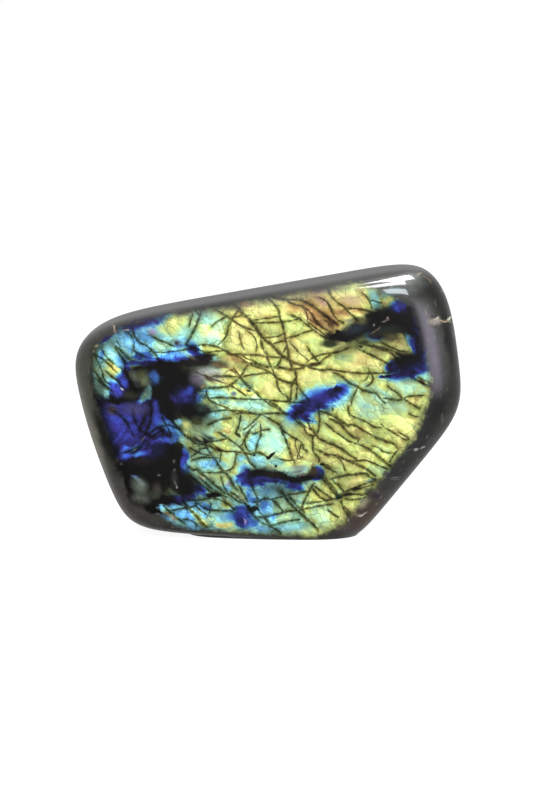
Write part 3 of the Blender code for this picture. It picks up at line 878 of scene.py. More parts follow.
MIDDLE_RIGHT_CRACKS = (
    (0.16, (12.7, 34.9), (12.8, 33.8), (13, 31.9), (12.9, 30.6), (12.6, 28.8), (12.2, 27.9)),
    (0.19, (12.8, 33.7), (14.1, 33.5), (15.4, 32.9), (16.8, 32.2), (18, 31.3), (19.3, 30.6), (20.1, 30.1)),
    (0.19, (20.1, 30.1), (22.8, 29.7), (23.9, 28.8), (25.1, 28.2), (26.8, 27.3), (28.4, 26.6), (29.9, 25.9)),
    (0.19, (29.9, 25.9), (31.5, 25.4), (32.2, 24.9), (33, 23.9)),
    (0.19, (15.7, 31.8), (17.1, 31.1), (18.6, 30.2), (19.6, 28.8), (20.4, 28.1), (21.6, 27.1), (22.8, 26.7)),
    (0.15, (22.8, 26.7), (22.8, 26), (22.6, 25.4)),
    (0.16, (16.4, 28.6), (17.5, 28), (18.8, 27.1), (20, 26.3), (21.8, 25.6), (23.3, 25), (24.9, 24.3)),
    (0.2, (24.9, 24.3), (26.3, 23.4), (27.6, 22.3), (28.8, 21.3), (29.9, 20.4), (31.1, 19.4)),
    (0.19, (8.9, 29.9), (9.3, 28.9), (10, 28), (11.2, 27.5), (12.1, 27.7)),
    (0.19, (10, 30.6), (10.7, 29.5), (11.4, 28.6), (12, 27.9)),
    (0.15, (6.1, 32.4), (7.1, 31.3), (8.2, 30.2), (8.9, 29.4)),
    (0.14, (7, 32.3), (8, 31), (9.4, 29.7)),
    (0.2, (12.2, 27.9), (12.7, 27), (13.6, 26.3), (14.8, 25.8), (16.2, 25.3), (17.5, 24.7), (18.8, 23.9)),
    (0.17, (18.8, 23.9), (20, 23), (21, 22.2), (22.4, 21.5)),
    (0.17, (11.2, 27.5), (11.2, 26.2), (11.3, 24.8), (11.3, 23.9), (12, 22.6), (12.7, 21.8), (12.8, 20.6)),
    (0.21, (11.4, 24.2), (12.7, 23.7), (13.9, 23.2), (15, 22.6), (16.2, 22.6), (17.5, 22.2), (18.8, 21.7)),
    (0.22, (18.8, 21.7), (20, 21.1), (21.4, 20.6), (23, 19.8), (24.9, 18.8), (26.3, 17.8), (27.3, 17)),
    (0.16, (17.1, 22), (17.9, 21.6), (18.6, 20.7), (19.1, 19.6), (19.4, 18.6)),
    (0.18, (16.3, 43.7), (18, 42.9), (19.1, 42.2), (20.2, 41.2), (21.4, 40.5), (22.6, 39.9), (24, 39)),
    (0.19, (24, 39), (25.1, 38.8), (26.1, 38.5), (27.1, 38.4), (27.8, 37.6), (28.6, 36.7), (29.4, 35.8)),
    (0.15, (22.5, 39.6), (21.9, 38.3), (21.4, 37.4), (21.1, 36.4), (20.9, 35.3)),
    (0.15, (20.2, 34.7), (20.3, 33.6), (20.8, 32.7), (22, 32.1), (23.3, 31.7), (24.9, 30.9), (26.1, 30.1)),
    (0.15, (26.1, 30.1), (26.8, 29.7), (28, 29.6), (29.1, 29.6)),
    (0.17, (28.6, 30.3), (29.5, 29.5), (30.7, 28.9), (31.8, 28.1), (33, 27.4), (34.2, 26.6), (35.1, 26.2)),
    (0.16, (33.2, 28.1), (34.4, 27.4), (35.1, 27), (35.7, 26.3)),
    (0.18, (21, 20.9), (22.4, 21), (23.9, 21.2), (25.3, 20.9), (26.5, 20.4), (27.9, 19.8), (29.9, 18.9)),
    (0.15, (26.6, 24.7), (28, 24.3), (28.9, 23.5), (29.9, 23.1), (31.1, 22.9)),
    (0.17, (32.8, 23.5), (32, 22.7), (31.5, 21.7), (30.9, 20.6)),
    (0.16, (34.3, 36.9), (33.2, 36.6), (31.5, 36.7), (29.2, 37.1)),
    (0.19, (34.2, 37), (35.3, 36.2), (36.9, 35.2), (38.2, 34.4)),
    (0.14, (34.5, 37.1), (35.8, 37.5), (37.5, 37.6), (39.2, 37.7)),
    (0.16, (30.3, 39.9), (31.7, 38.9), (33, 38.1), (33.9, 37.1)),
    (0.16, (35.7, 33), (36.7, 32.5), (37.9, 32.2)),
    (0.24, (17, 32.2), (18.6, 31), (20.3, 30)),
    (0.24, (26.4, 27.5), (28.2, 26.7), (30, 25.9)),
    (0.14, (14.4, 30.6), (16, 29.4), (17.4, 28.2)),
    (0.14, (13.6, 20.4), (15.4, 19.4), (16.4, 18)),
    (0.14, (7.2, 21.4), (7.8, 23.4), (8.2, 25.4)),
    (0.13, (24, 41.4), (25.2, 42.6), (25.4, 44)),
)

LOWER_LEFT_CRACKS = (
    (0.22, (-21.8, 10.6), (-20.8, 9.2), (-19.7, 8), (-18.7, 6.9), (-17.8, 5.8), (-16.8, 4.6), (-15.9, 3.8)),
    (0.2, (-26, 8.3), (-24.9, 7.5), (-23.7, 6.5), (-22.6, 5.5), (-21.6, 4.8)),
    (0.15, (-24.7, 8), (-22.8, 8.4), (-20.8, 8.8), (-18.9, 9.2), (-18.2, 9.6)),
    (0.15, (-21.6, 5.7), (-19.9, 5.5), (-18.9, 4.8), (-18.2, 4)),
    (0.19, (-18.4, 10), (-17, 9.2), (-15.7, 8.4), (-14.7, 8.2), (-13.5, 8.1), (-11.5, 8), (-9.5, 8.1)),
    (0.17, (-20, 10.8), (-18.5, 10.8), (-17, 11), (-15.1, 11.3)),
    (0.24, (-18.1, 18.7), (-16.6, 17.3), (-15.1, 16.2), (-13.6, 14.8), (-12, 13.5), (-11, 12.6)),
    (0.19, (-17.6, 16.8), (-16.2, 15.4), (-14.7, 14), (-13.5, 13.1), (-12.2, 12.3), (-10.6, 11.6)),
    (0.2, (-11, 12.6), (-9.5, 12), (-8.6, 11.2), (-7.3, 10.3), (-6, 9.8), (-5, 9)),
    (0.16, (-9.5, 12.8), (-8.5, 12.2), (-7.5, 11.3), (-6.5, 10.4), (-5.5, 9.8)),
    (0.16, (-14, 11.3), (-12.7, 11), (-11.5, 10.6), (-10.3, 9.8), (-9.4, 9), (-8.6, 8.4)),
    (0.14, (-15.4, 12.5), (-13.8, 12.6), (-12.4, 12.7)),
    (0.17, (-20, 17.2), (-17.6, 15.2), (-15.4, 13.6), (-13.8, 12.4)),
    (0.14, (-12, 16.6), (-11.4, 14.6), (-10.6, 13)),
    (0.15, (-15.8, 14.6), (-14.2, 13.2), (-12.4, 11.9), (-10.8, 10.8)),
    (0.14, (-18.2, 9), (-16.8, 7.8), (-15.2, 6.6)),
    (0.13, (-14.8, 9.6), (-15, 8), (-15.6, 6.4)),
    (0.14, (-24, 10.4), (-22, 9.4), (-20.8, 8.4)),
    (0.14, (-7.6, 14.6), (-6.4, 12.4), (-5.4, 10.6)),
    (0.14, (-4.2, 15), (-3.4, 12.8), (-2.8, 11.2)),
)

LOWER_MIDDLE_CRACKS = (
    (0.15, (-4, 10.2), (-3.3, 10.3), (-2, 10.8), (-0.7, 11.2), (0.5, 11), (1.5, 11.2), (4.5, 12)),
    (0.19, (-3, 10), (-2.8, 9), (-2.3, 7.8), (-1.4, 6.7), (-0.7, 5.8), (0.2, 4.5), (1.2, 3.4)),
    (0.18, (-4.5, 8), (-3.7, 6.8), (-2.8, 5.9), (-1.8, 5), (-0.5, 4.3), (0.7, 3.8), (3, 2.2)),
    (0.18, (-2.5, 6.4), (-1, 6.4), (0.5, 6.8), (2.5, 7.2), (4, 7.6), (5.8, 8), (6.7, 8.1)),
    (0.16, (0.3, 4.2), (1.5, 4.4), (3.2, 4.9), (5, 5.3), (6.7, 5.6), (8, 5.7)),
    (0.15, (1.5, 10.7), (2.3, 9.8), (3, 8.7), (3.6, 7.8)),
    (0.14, (0.8, 11), (1.8, 9.9), (2.5, 9.2)),
    (0.25, (3.3, 13), (4.5, 11.2), (5.5, 9.8), (6.5, 9), (7.5, 8), (8.3, 7.2), (9.3, 6.3)),
    (0.24, (9.3, 6.3), (10.3, 5.4), (11.2, 4.6), (12, 3.7), (12.7, 3)),
    (0.2, (5, 12.2), (6, 11), (7, 9.7), (8, 8.7), (9, 7.7)),
    (0.18, (11.5, 15), (10.7, 13.7), (10, 12.3), (9.3, 11), (8.8, 9.7), (8.5, 8.7)),
    (0.15, (5, 12.2), (7, 12.5), (8.5, 12.9), (10, 13.1)),
    (0.16, (8, 8.2), (9.5, 8.6), (11, 8.8), (13, 9.3), (15, 9.6), (16.5, 9.8)),
    (0.18, (11.3, 13.8), (12.3, 12.5), (13.3, 11.5), (14.7, 10.6)),
    (0.16, (12.2, 14.2), (14, 12.8), (15.5, 11.7), (16.5, 11)),
    (0.15, (10, 10.1), (12, 10.2), (14, 10.7), (16, 11), (17.5, 11.4), (18.7, 11.6)),
    (0.16, (14, 20), (15, 19), (16, 18.5), (17.2, 18)),
    (0.2, (16, 16.3), (17, 16.6), (18.7, 17), (20.3, 17.3), (22, 17.4), (23.5, 17.7), (24.8, 17.6)),
    (0.18, (24.8, 17.6), (26, 16.7), (27.2, 16.1)),
    (0.18, (16.2, 16.5), (16.7, 15.6), (17.5, 15), (18.5, 14), (19.2, 13)),
    (0.24, (13.4, 16.7), (14.5, 15.6), (15.5, 14.5), (16.3, 13.3), (17, 12.5), (17.7, 11.8)),
    (0.16, (14, 17), (15.3, 15.5), (16.5, 14), (17.5, 12.7)),
    (0.2, (18.5, 10.5), (19, 9), (19.7, 7.8), (20.3, 6.5), (20.7, 5.3)),
    (0.15, (19.3, 9.2), (20.2, 8), (20.7, 7)),
    (0.18, (15.3, 8), (16.3, 7.3), (17.2, 6.7), (17.9, 6.3)),
    (0.16, (19.5, 13), (21, 13.6), (22.5, 14.2), (24, 14.7), (26, 15.5), (27.2, 15.9)),
    (0.15, (22, 13.4), (24, 14), (26, 14.6)),
    (0.15, (21, 12.2), (22, 12.3), (24, 12), (26, 12.6)),
    (0.15, (20, 11), (22, 10.9), (24, 11.3), (25.5, 11.7)),
)

CRACKS = (
    UPPER_LEFT_CRACKS,
    UPPER_MIDDLE_CRACKS,
    UPPER_RIGHT_CRACKS,
    MIDDLE_LEFT_CRACKS,
    MIDDLE_CRACKS,
    MIDDLE_RIGHT_CRACKS,
    LOWER_LEFT_CRACKS,
    LOWER_MIDDLE_CRACKS,
)


# Flecks, stains and inclusions: spots that bring a screen colour. Those of the face lie under the polish,
# and those of the rim lie on the bevels, save the first rim row, which is a painted reflection.
# ----------------------------------------------------------

FACE_MARKS = (
    (-42.5, 40, 1.5, 2, (82, 115, 105), 0, 0.7),
    (-29.3, 53.8, 1.3, 0.8, (165, 165, 210), 0, 0.7),
    (-34, 42.6, 1.9, 1.3, (98, 106, 100), -30, 1),
    (-32.2, 43, 2, 1.2, (72, 76, 46), 30, 1),
    (-31.4, 41.4, 1.4, 1.6, (98, 110, 76), 0, 1),
    (-33.2, 40.6, 1.2, 1, (50, 56, 58), 0, 1),
    (-33.6, 34.2, 3.6, 1.8, (66, 64, 118), 0, 1),
    (-35, 37.9, 2.6, 1.2, (46, 46, 36), 0, 1),
    (-36, 54, 1, 0.15, (215, 215, 215), 10, 0.4),
    (-21, 59, 3, 1.1, (128, 122, 85), 10, 0.7),
    (-13, 60.6, 3, 0.9, (62, 55, 66), 8, 0.7),
    (-5.5, 60.7, 1.6, 0.7, (186, 158, 110), 0, 0.6),
    (-23.3, 51.2, 1.3, 1.1, (70, 54, 66)),
    (-19, 47, 1.9, 0.5, (122, 106, 96), -36, 0.8),
    (-14.8, 47.2, 1, 0.6, (44, 26, 18), 0, 0.6),
    (-17.4, 42.6, 2.4, 2.6, (104, 98, 116), 30, 1),
    (-14.2, 43.2, 3.6, 1.9, (206, 210, 208), -10, 1),
    (-17.6, 45.9, 4.8, 1.6, (30, 25, 28), -6, 1),
    (-15, 41.8, 2.2, 0.6, (110, 100, 90), -25, 1),
    (-13.6, 45.2, 1.6, 0.4, (110, 116, 110), -25, 1),
    (-12.4, 46, 2.2, 1, (104, 92, 54), 0, 1),
    (-11.5, 45.2, 2.2, 0.5, (120, 100, 66), -10),
    (-16.7, 40.2, 0.7, 0.3, (150, 130, 100), 25, 0.5),
    (-4.9, 39, 0.5, 0.3, (30, 32, 22), 0, 0.4),
    (15.5, 50.9, 2.8, 1.1, (50, 62, 34), 5, 0.7),
    (21, 56.7, 2.4, 0.8, (142, 146, 112), 10),
    (20.6, 62, 3.2, 1.8, (214, 190, 142), -5, 1),
    (13.4, 61.6, 2.2, 1.2, (200, 166, 140), -20, 1),
    (23, 56.5, 1.8, 1, (104, 100, 52), 0, 0.8),
    (13, 64.3, 3, 1.1, (112, 88, 78), 6, 0.8),
    (12, 45.8, 2, 0.6, (88, 70, 24), 0, 0.7),
    (30, 54.4, 4, 1.2, (34, 44, 36), 6, 1),
    (31.4, 52.4, 2.6, 1.4, (82, 76, 42), -10, 1),
    (35.4, 60, 1, 1.4, (16, 16, 22), 0, 1),
    (24, 51.3, 2.2, 0.9, (62, 74, 36), 10, 0.8),
    (23.2, 50.2, 0.8, 0.4, (48, 46, 22), 0, 0.6),
    (22, 54.8, 3.2, 1.4, (38, 48, 56), 18, 1),
    (26.6, 53.2, 3, 1, (34, 40, 34), 10, 1),
    (27, 54.2, 1.6, 0.22, (104, 88, 78), 35, 0.6),
    (29.4, 56.6, 1.2, 0.22, (112, 100, 92), 20, 0.6),
    (30, 57.4, 0.35, 0.3, (150, 140, 136), 0, 0.6),
    (26.4, 55.6, 0.3, 0.3, (130, 120, 120), 0, 0.6),
    (39, 41.2, 1.1, 0.6, (112, 74, 42), -30, 0.7),
    (38.9, 62.5, 0.3, 0.3, (205, 205, 205), 0, 0.4),
    (37, 62.5, 2, 0.7, (84, 88, 80), 0, 0.8),
    (37, 65.3, 2.4, 1.8, (74, 84, 76)),
    (-39.5, 34, 1.5, 1.5, (70, 64, 78)),
    (-37, 39.5, 0.6, 0.25, (210, 214, 220), -40, 0.4),
    (-31.8, 26.6, 0.7, 0.16, (120, 118, 150), 50, 0.8),
    (-34, 23.9, 0.6, 0.3, (150, 190, 225), 25, 0.6),
    (-32, 20.8, 3.2, 1.2, (34, 25, 26), 0, 1),
    (-33.7, 16.3, 1.3, 0.5, (90, 118, 132), -25, 0.8),
    (-32.8, 14.3, 2.5, 1.9, (94, 104, 90), -42, 1),
    (-32.6, 15.2, 1.4, 0.8, (112, 126, 122), -40, 1),
    (-32.8, 11, 2.8, 1.8, (84, 90, 80), 0, 1),
    (-28.4, 13.2, 1.2, 2.2, (64, 60, 54), 0, 1),
    (-29.2, 12, 1.4, 1.2, (56, 60, 48), 0, 1),
    (-24.1, 16.4, 1, 2.4, (48, 46, 46), 0, 1),
    (-23.8, 15.2, 1, 0.25, (100, 95, 97), -60),
    (-23.5, 14.2, 0.3, 0.4, (130, 126, 126), 0, 0.5),
    (-24.1, 18.6, 0.4, 0.45, (84, 80, 76), 0, 0.6),
    (-24.1, 20.8, 0.35, 0.5, (84, 80, 76), 0, 0.6),
    (-27.9, 17.3, 0.5, 0.3, (84, 82, 78), 0, 0.7),
    (-37.5, 19.9, 0.4, 0.4, (90, 90, 84), 0, 0.7),
    (-28.5, 7, 0.6, 0.3, (116, 112, 112), 0, 0.6),
    (-28.1, 5.6, 1.2, 0.9, (58, 46, 50)),
    (-26, 7.2, 1.3, 0.7, (142, 142, 112), -30, 0.7),
    (-24.3, 6.2, 1.4, 0.6, (196, 204, 194), -35, 0.7),
    (-17.5, 26.8, 1.2, 0.4, (150, 160, 120), -35, 0.7),
    (-18, 31, 1.8, 0.9, (62, 66, 34), -30, 0.8),
    (-16.6, 34.6, 1.4, 1.2, (40, 60, 58), 0, 1),
    (-8.8, 38.2, 0.8, 0.6, (118, 142, 158), 0, 0.7),
    (-7.7, 27.7, 0.9, 0.45, (66, 78, 42), -50, 0.6),
    (-12.5, 24, 1.2, 0.5, (128, 112, 58), -30, 0.8),
    (-17, 16.8, 0.7, 0.4, (196, 196, 158), -40, 0.6),
    (-10, 15, 0.8, 0.9, (160, 168, 196), 0, 0.8),
    (0.7, 22.35, 1.75, 0.42, (16, 15, 18), 41, 0.35),
    (-0.3, 21.8, 0.6, 0.5, (20, 20, 22), 0, 0.5),
    (1.75, 19.6, 0.4, 0.35, (18, 26, 24), 0, 0.4),
    (-3.6, 22.3, 0.4, 0.3, (28, 66, 72), 0, 0.5),
    (13.6, 20, 0.8, 0.3, (26, 28, 20), 0, 0.5),
    (16.2, 34.3, 0.3, 0.55, (74, 90, 62), -20, 0.6),
    (10.5, 29.2, 0.8, 0.35, (150, 132, 80), -35, 0.6),
    (8.5, 17.4, 1.7, 0.45, (104, 100, 92), 10),
    (11.4, 18.4, 1.4, 1.2, (66, 54, 34), 0, 1),
    (7.4, 18.2, 2.4, 0.6, (112, 118, 118), 14),
    (7.8, 19.3, 2.6, 0.8, (140, 156, 140), 10),
    (1.5, 17.2, 3, 0.8, (30, 24, 16), -8),
    (-4.4, 8.5, 1, 0.8, (24, 36, 20), 0, 0.6),
    (-6.7, 11.2, 1.3, 0.25, (168, 164, 144), -43, 0.5),
    (-6, 5.2, 0.35, 0.9, (150, 130, 200), 0, 0.8),
    (-10.5, 9.6, 1.5, 0.9, (126, 140, 72)),
    (-13.8, 11.9, 2, 0.5, (16, 22, 28), 3, 0.5),
    (17.8, 11.5, 1.1, 0.8, (30, 74, 70), 30, 0.8),
    (20, 12.2, 1.9, 0.6, (42, 34, 18), 14, 0.7),
    (22.2, 13.8, 1.2, 0.5, (58, 44, 20), 5, 0.7),
    (24.3, 9.8, 0.7, 1.4, (158, 148, 130), 10),
    (25.8, 12.9, 1.4, 1, (128, 142, 104)),
    (26, 15.9, 1.6, 0.4, (128, 168, 140), 15, 0.7),
    (41.8, 39.2, 2.6, 0.7, (118, 110, 116), 62),
)

RIM_MARKS_AND_REFLECTION = (
    # Painted reflection: a pale blue glint of the soft light on the top-right shoulder, not a fleck.
    (31.8, 64, 3.4, 0.9, (104, 132, 138), -2, 1),
    (42.1, 56.2, 1.9, 1.1, (152, 142, 132), -8),
    (42.6, 57, 0.7, 0.35, (190, 180, 165), 0, 0.8),
    (44.6, 56.2, 2.2, 0.26, (172, 156, 128), -8, 0.8),
    (46.2, 56.6, 0.8, 0.3, (225, 220, 205), 20, 0.5),
    (44.5, 63.3, 0.5, 0.3, (180, 178, 170), 0, 0.5),
    (38.2, 68, 0.6, 0.3, (190, 180, 150), 20, 0.5),
    (40.4, 66.6, 1.3, 0.22, (120, 104, 82), -35, 0.7),
    (-39.3, 54.2, 1, 0.3, (190, 176, 150), -60, 0.8),
    (-38.4, 53.2, 0.9, 0.25, (170, 150, 116), -45, 0.6),
    (-43.4, 49.8, 0.7, 0.4, (190, 170, 130), 30, 0.6),
    (-44, 48.5, 0.4, 0.3, (200, 198, 190), 0, 0.6),
    (33.5, 23.7, 4, 0.12, (92, 90, 88), 0, 0.6),
    (37.8, 23.7, 0.6, 0.35, (160, 156, 150), 0, 0.7),
    (39.6, 23.7, 0.8, 0.35, (160, 156, 150), 0, 0.7),
    (32.4, 16.1, 1.3, 0.2, (104, 102, 102), 0, 0.7),
    (32.4, 15.5, 1.3, 0.2, (88, 86, 88), 0, 0.7),
    (24, 6.8, 1.6, 0.3, (172, 162, 152), 12, 0.6),
    (24.8, 11.2, 0.8, 0.6, (140, 124, 110), 30, 0.8),
    (27.5, 9.2, 0.6, 0.35, (112, 98, 90), 40, 0.8),
    (29, 11, 0.7, 0.3, (110, 96, 92), 40, 0.8),
    (20.6, 5.7, 0.25, 0.5, (150, 150, 142), 0, 0.6),
    (14.3, 2.6, 1.4, 0.3, (142, 136, 122), 15, 0.7),
    (12, 2.2, 0.9, 0.3, (120, 114, 104), 0, 0.7),
    (18.8, 4.4, 1, 0.25, (116, 100, 86), 10, 0.7),
    (18.5, 3.6, 2.2, 1, (88, 76, 64)),
    (-5.5, 2.8, 1.6, 0.25, (112, 102, 96), 14, 0.7),
    (30.5, 17.5, 0.7, 1.1, (50, 46, 62)),
    (27.5, 11.5, 1, 0.7, (50, 45, 60)),
)


# The outline of the flash on the faces: for each side the direction that it faces, in degrees
# anticlockwise from the right, and its distance from the middle of the foot in millimetres.
FLASH_OUTLINE = (
    (99.65, 61.3),
    (65.0, 69.8),
    (13.4, 49.4),
    (-22.6, 23.9),
    (-37.9, 12.7),
    (-61.8, 5.0),
    (-94.3, -1.8),
    (-115.8, 6.4),
    (198.0, 30.6),
    (180.0, 45.0),
    (126.4, 66.1),
    (105.6, 63.1),
)

# Broad colours of the rim, also spots that bring a screen colour. A few rows are painted reflections, marked
# below.
RIM_CLOUDS_AND_REFLECTIONS = (
    (-46, 38, 4, 16, (74, 75, 64), 0, 0.8),
    (-42, 20, 3, 14, (58, 58, 51), 17, 0.8),
    # Painted reflection: a pale band of grazing sheen along the left silhouette.
    (-45.2, 27, 1.5, 15, (106, 104, 88), 17),
    (-41.6, 26.5, 1.4, 9, (24, 24, 20), 18, 0.8),
    (-32, 6, 3, 2, (46, 44, 42), -35),
    (-36, 8, 8, 6, (66, 63, 58), -40, 0.8),
    (-20, 1, 16, 2.2, (44, 42, 38), -8, 0.8),
    (5, 1, 18, 2, (52, 52, 48), 0, 0.8),
    (24, 7, 7, 4.5, (75, 62, 55), 48),
    (33, 20, 7, 6, (50, 50, 50), 50),
    (38, 27, 5, 5, (48, 48, 50), 55),
    (43, 35, 4, 8, (29, 29, 28), -20),
    # Painted reflection: a lilac sheen of a soft light on the right bevel, under the pale wall that the
    # polish mirrors.
    (41, 50, 2.8, 12, (58, 54, 68), 12, 0.8),
    (46, 52, 1.5, 13, (12, 12, 10), 10),
    (48.4, 40, 1.2, 12, (46, 44, 43), 4),
    (24, 10, 1.8, 1.5, (150, 144, 118), 40),
    (43, 63, 5, 6, (30, 31, 25), 0, 0.8),
    # These two rows are partly the stone's grey green and partly painted reflection of the soft overhead
    # light on the top bevel and its right corner.
    (36.6, 67, 3.4, 3, (92, 98, 92), -20),
    (15, 66.6, 24, 2.4, (66, 68, 62), 10, 0.8),
    (-10, 61.8, 17, 2.4, (36, 35, 38), 10, 0.8),
    (-33, 58.2, 10, 2, (48, 48, 52), 18, 0.8),
)


# Node trees
# ----------------------------------------------------------

# The sockets of a mix node for each kind of value: its first value, its second value and its result.
MIX_SOCKETS = {"FLOAT": (2, 3, 0), "VECTOR": (4, 5, 1), "RGBA": (6, 7, 2)}


class Graph:
    """A node tree, with one short call for each kind of node that the stone needs."""

    def __init__(self, tree):
        self.tree = tree

    def feed(self, socket, value):
        """Links a socket, or sets a plain value on it."""
        if isinstance(value, bpy.types.NodeSocket):
            self.tree.links.new(value, socket)
        elif socket.type == "RGBA" and len(value) == 3:
            socket.default_value = (*value, 1.0)
        else:
            socket.default_value = value

    def add(self, kind, inputs=(), **settings):
        """A node of a kind, with values or links for its inputs and its own settings."""
        node = self.tree.nodes.new(kind)
        for name, value in settings.items():
            setattr(node, name, value)
        for key, value in dict(inputs).items():
            self.feed(node.inputs[key], value)
        return node

    def math(self, operation, *values):
        """The result of an operation on numbers."""
        return self.add("ShaderNodeMath", enumerate(values), operation=operation).outputs[0]

    def vector(self, operation, *values):
        """The result of an operation on vectors."""
        node = self.add("ShaderNodeVectorMath", enumerate(values), operation=operation)
        return node.outputs["Value" if operation == "DOT_PRODUCT" else "Vector"]

    def steps(self, value, low, high, to_low=0.0, to_high=1.0):
        """A smooth step from to_low at low to to_high at high."""
        inputs = {"Value": value, "From Min": low, "From Max": high, "To Min": to_low, "To Max": to_high}
        node = self.add("ShaderNodeMapRange", inputs, interpolation_type="SMOOTHSTEP", clamp=False)
        return node.outputs[0]

    def mix(self, share, first, second, data_type="FLOAT", **settings):
        """A share of the way from the first value to the second."""
        first_input, second_input, output = MIX_SOCKETS[data_type]
        inputs = {0: share, first_input: first, second_input: second}
        return self.add("ShaderNodeMix", inputs, data_type=data_type, **settings).outputs[output]

    def blend(self, share, first, second, **settings):
        """A share of the way from the first colour to the second."""
        return self.mix(share, first, second, "RGBA", **settings)

    def noise(self, place, scale, detail=2.0, roughness=0.5):
        """A cloud noise: its value from 0 to 1, and its colour as three such values."""
        inputs = {"Vector": place, "Scale": scale, "Detail": detail, "Roughness": roughness}
        node = self.add("ShaderNodeTexNoise", inputs)
        return node.outputs["Fac"], node.outputs["Color"]

    def cloud(self, place, name):
        """The value of one of the CLOUDS at a place, from 0 to 1."""
        return self.noise(place, *CLOUDS[name])[0]

    def parts(self, vector):
        """The x, y and z of a vector."""
        return self.add("ShaderNodeSeparateXYZ", {0: vector}).outputs

    def thrice(self, value):
        """A vector with the same value in all three parts."""
        return self.add("ShaderNodeCombineXYZ", {"X": value, "Y": value, "Z": value}).outputs[0]

    def extreme(self, operation, vector):
        """The smallest or largest part of a vector, as operation says."""
        parts = self.parts(vector)
        return self.math(operation, parts["X"], self.math(operation, parts["Y"], parts["Z"]))

    def plates(self, place, scale, feature="F1"):
        """Cells in the plane of a place's x and y."""
        inputs = {"Vector": place, "Scale": scale}
        return self.add("ShaderNodeTexVoronoi", inputs, feature=feature, voronoi_dimensions="2D")

    def group(self, tree, inputs):
        """What a node group gives out for these inputs."""
        node = self.add("ShaderNodeGroup", node_tree=tree)
        for key, value in inputs.items():
            self.feed(node.inputs[key], value)
        return node.outputs[0]


def new_material(name):
    """A material with its Graph and its shader."""
    material = bpy.data.materials.new(name)
    material.use_nodes = True
    return material, Graph(material.node_tree), material.node_tree.nodes["Principled BSDF"]


def new_group(name, inputs, output):
    """An empty node group: its Graph, its input sockets and a function that sets what it gives out."""
    tree = bpy.data.node_groups.new(name, "ShaderNodeTree")
    for label, kind in inputs.items():
        tree.interface.new_socket(name=label, in_out="INPUT", socket_type=kind)
    tree.interface.new_socket(name=output[0], in_out="OUTPUT", socket_type=output[1])
    graph = Graph(tree)
    source = graph.add("NodeGroupInput")
    sink = graph.add("NodeGroupOutput")
    return graph, source.outputs, lambda socket: graph.feed(sink.inputs[0], socket)


FLOAT = "NodeSocketFloat"
VECTOR = "NodeSocketVector"
COLOUR = "NodeSocketColor"


# How much of a spot its edge takes up at softness 0, what softness 1 adds to that, and the most it may be.
HARDEST_EDGE = 0.30
EDGE_SPAN = 0.75
SOFTEST_EDGE = 0.98


def spot_share(graph, face, spot):
    """How much of a spot shows at a face place: 1 inside it, 0 outside it, with a soft edge."""
    softness = min(HARDEST_EDGE + EDGE_SPAN * spot.softness, SOFTEST_EDGE)
    outer = math.sqrt(1.0 + softness)
    inner = math.sqrt(1.0 - softness)
    round_fade = graph.add("ShaderNodeTexGradient", {"Vector": face}, gradient_type="SPHERICAL")
    mapping = round_fade.texture_mapping
    mapping.vector_type = "TEXTURE"
    mapping.translation = (spot.x, 1.0, spot.z)
    mapping.rotation = (0.0, -math.radians(spot.tilt), 0.0)
    mapping.scale = (spot.half_length * outer, 1.0, spot.half_width * outer)
    return graph.steps(round_fade.outputs[1], 0.0, 1.0 - inner / outer)


def flash_group():
    """All flash spots in one group, since Cycles works a chain through several such groups out of order and
    then runs out of room for their values. Lit holds how much a place flashes in its y and the place along
    the run of colours, times that, in its x, so a dark spot dims the flash without changing its colour."""
    graph, source, give = new_group("flash", {"Face": VECTOR, "Lit": VECTOR}, ("Lit", VECTOR))
    lit = source["Lit"]
    for row in FLASH:
        spot = Spot(*row)
        share = spot_share(graph, source["Face"], spot)
        aim = (0.0, 0.0, 0.0) if spot.brings == BLACK else (spot.brings, 1.0, 0.0)
        lit = graph.mix(share, lit, aim, "VECTOR")
    give(lit)
    return graph.tree


def shades_group():
    """All SHADES in one group, which multiplies a brightness by those that lie at a face place."""
    graph, source, give = new_group("shades", {"Face": VECTOR, "Bright": FLOAT}, ("Bright", FLOAT))
    bright = source["Bright"]
    for row in SHADES:
        spot = Spot(*row)
        shade = graph.mix(spot_share(graph, source["Face"], spot), 1.0, spot.brings)
        bright = graph.math("MULTIPLY", bright, shade)
    give(bright)
    return graph.tree


def marks_group(name, rows):
    """Rows of coloured spots in one group, which lays them over a colour: marks, and on the rim also painted
    reflections.
    """
    inputs = {"Face": VECTOR, "Colour": COLOUR}
    graph, source, give = new_group(name, inputs, ("Colour", COLOUR))
    colour = source["Colour"]
    for row in rows:
        spot = Spot(*row)
        colour = graph.blend(spot_share(graph, source["Face"], spot), colour, paint(*spot.brings))
    give(colour)
    return graph.tree


# A stroke is drawn STROKE_OVERLAP times as long, since it tapers to nothing at its ends, and LEAST_ROOM
# keeps a place halfway that lies near an end from bending it too far.
STROKE_OVERLAP = 1.12
LEAST_ROOM = 0.5
STROKE_PARTS = ("Along X", "Along Z", "Along Start", "Across X", "Across Z", "Across Start", "Bend")
CRACK_INPUTS = dict.fromkeys(("X", "Z", "Nearest"), VECTOR)


def measured(graph, place, along_x, along_z, start):
    """How far a place lies along three directions at once, each counted from its own start."""
    x, z = place
    distance = graph.vector("MULTIPLY_ADD", x, along_x, start)
    return graph.vector("MULTIPLY_ADD", z, along_z, distance)


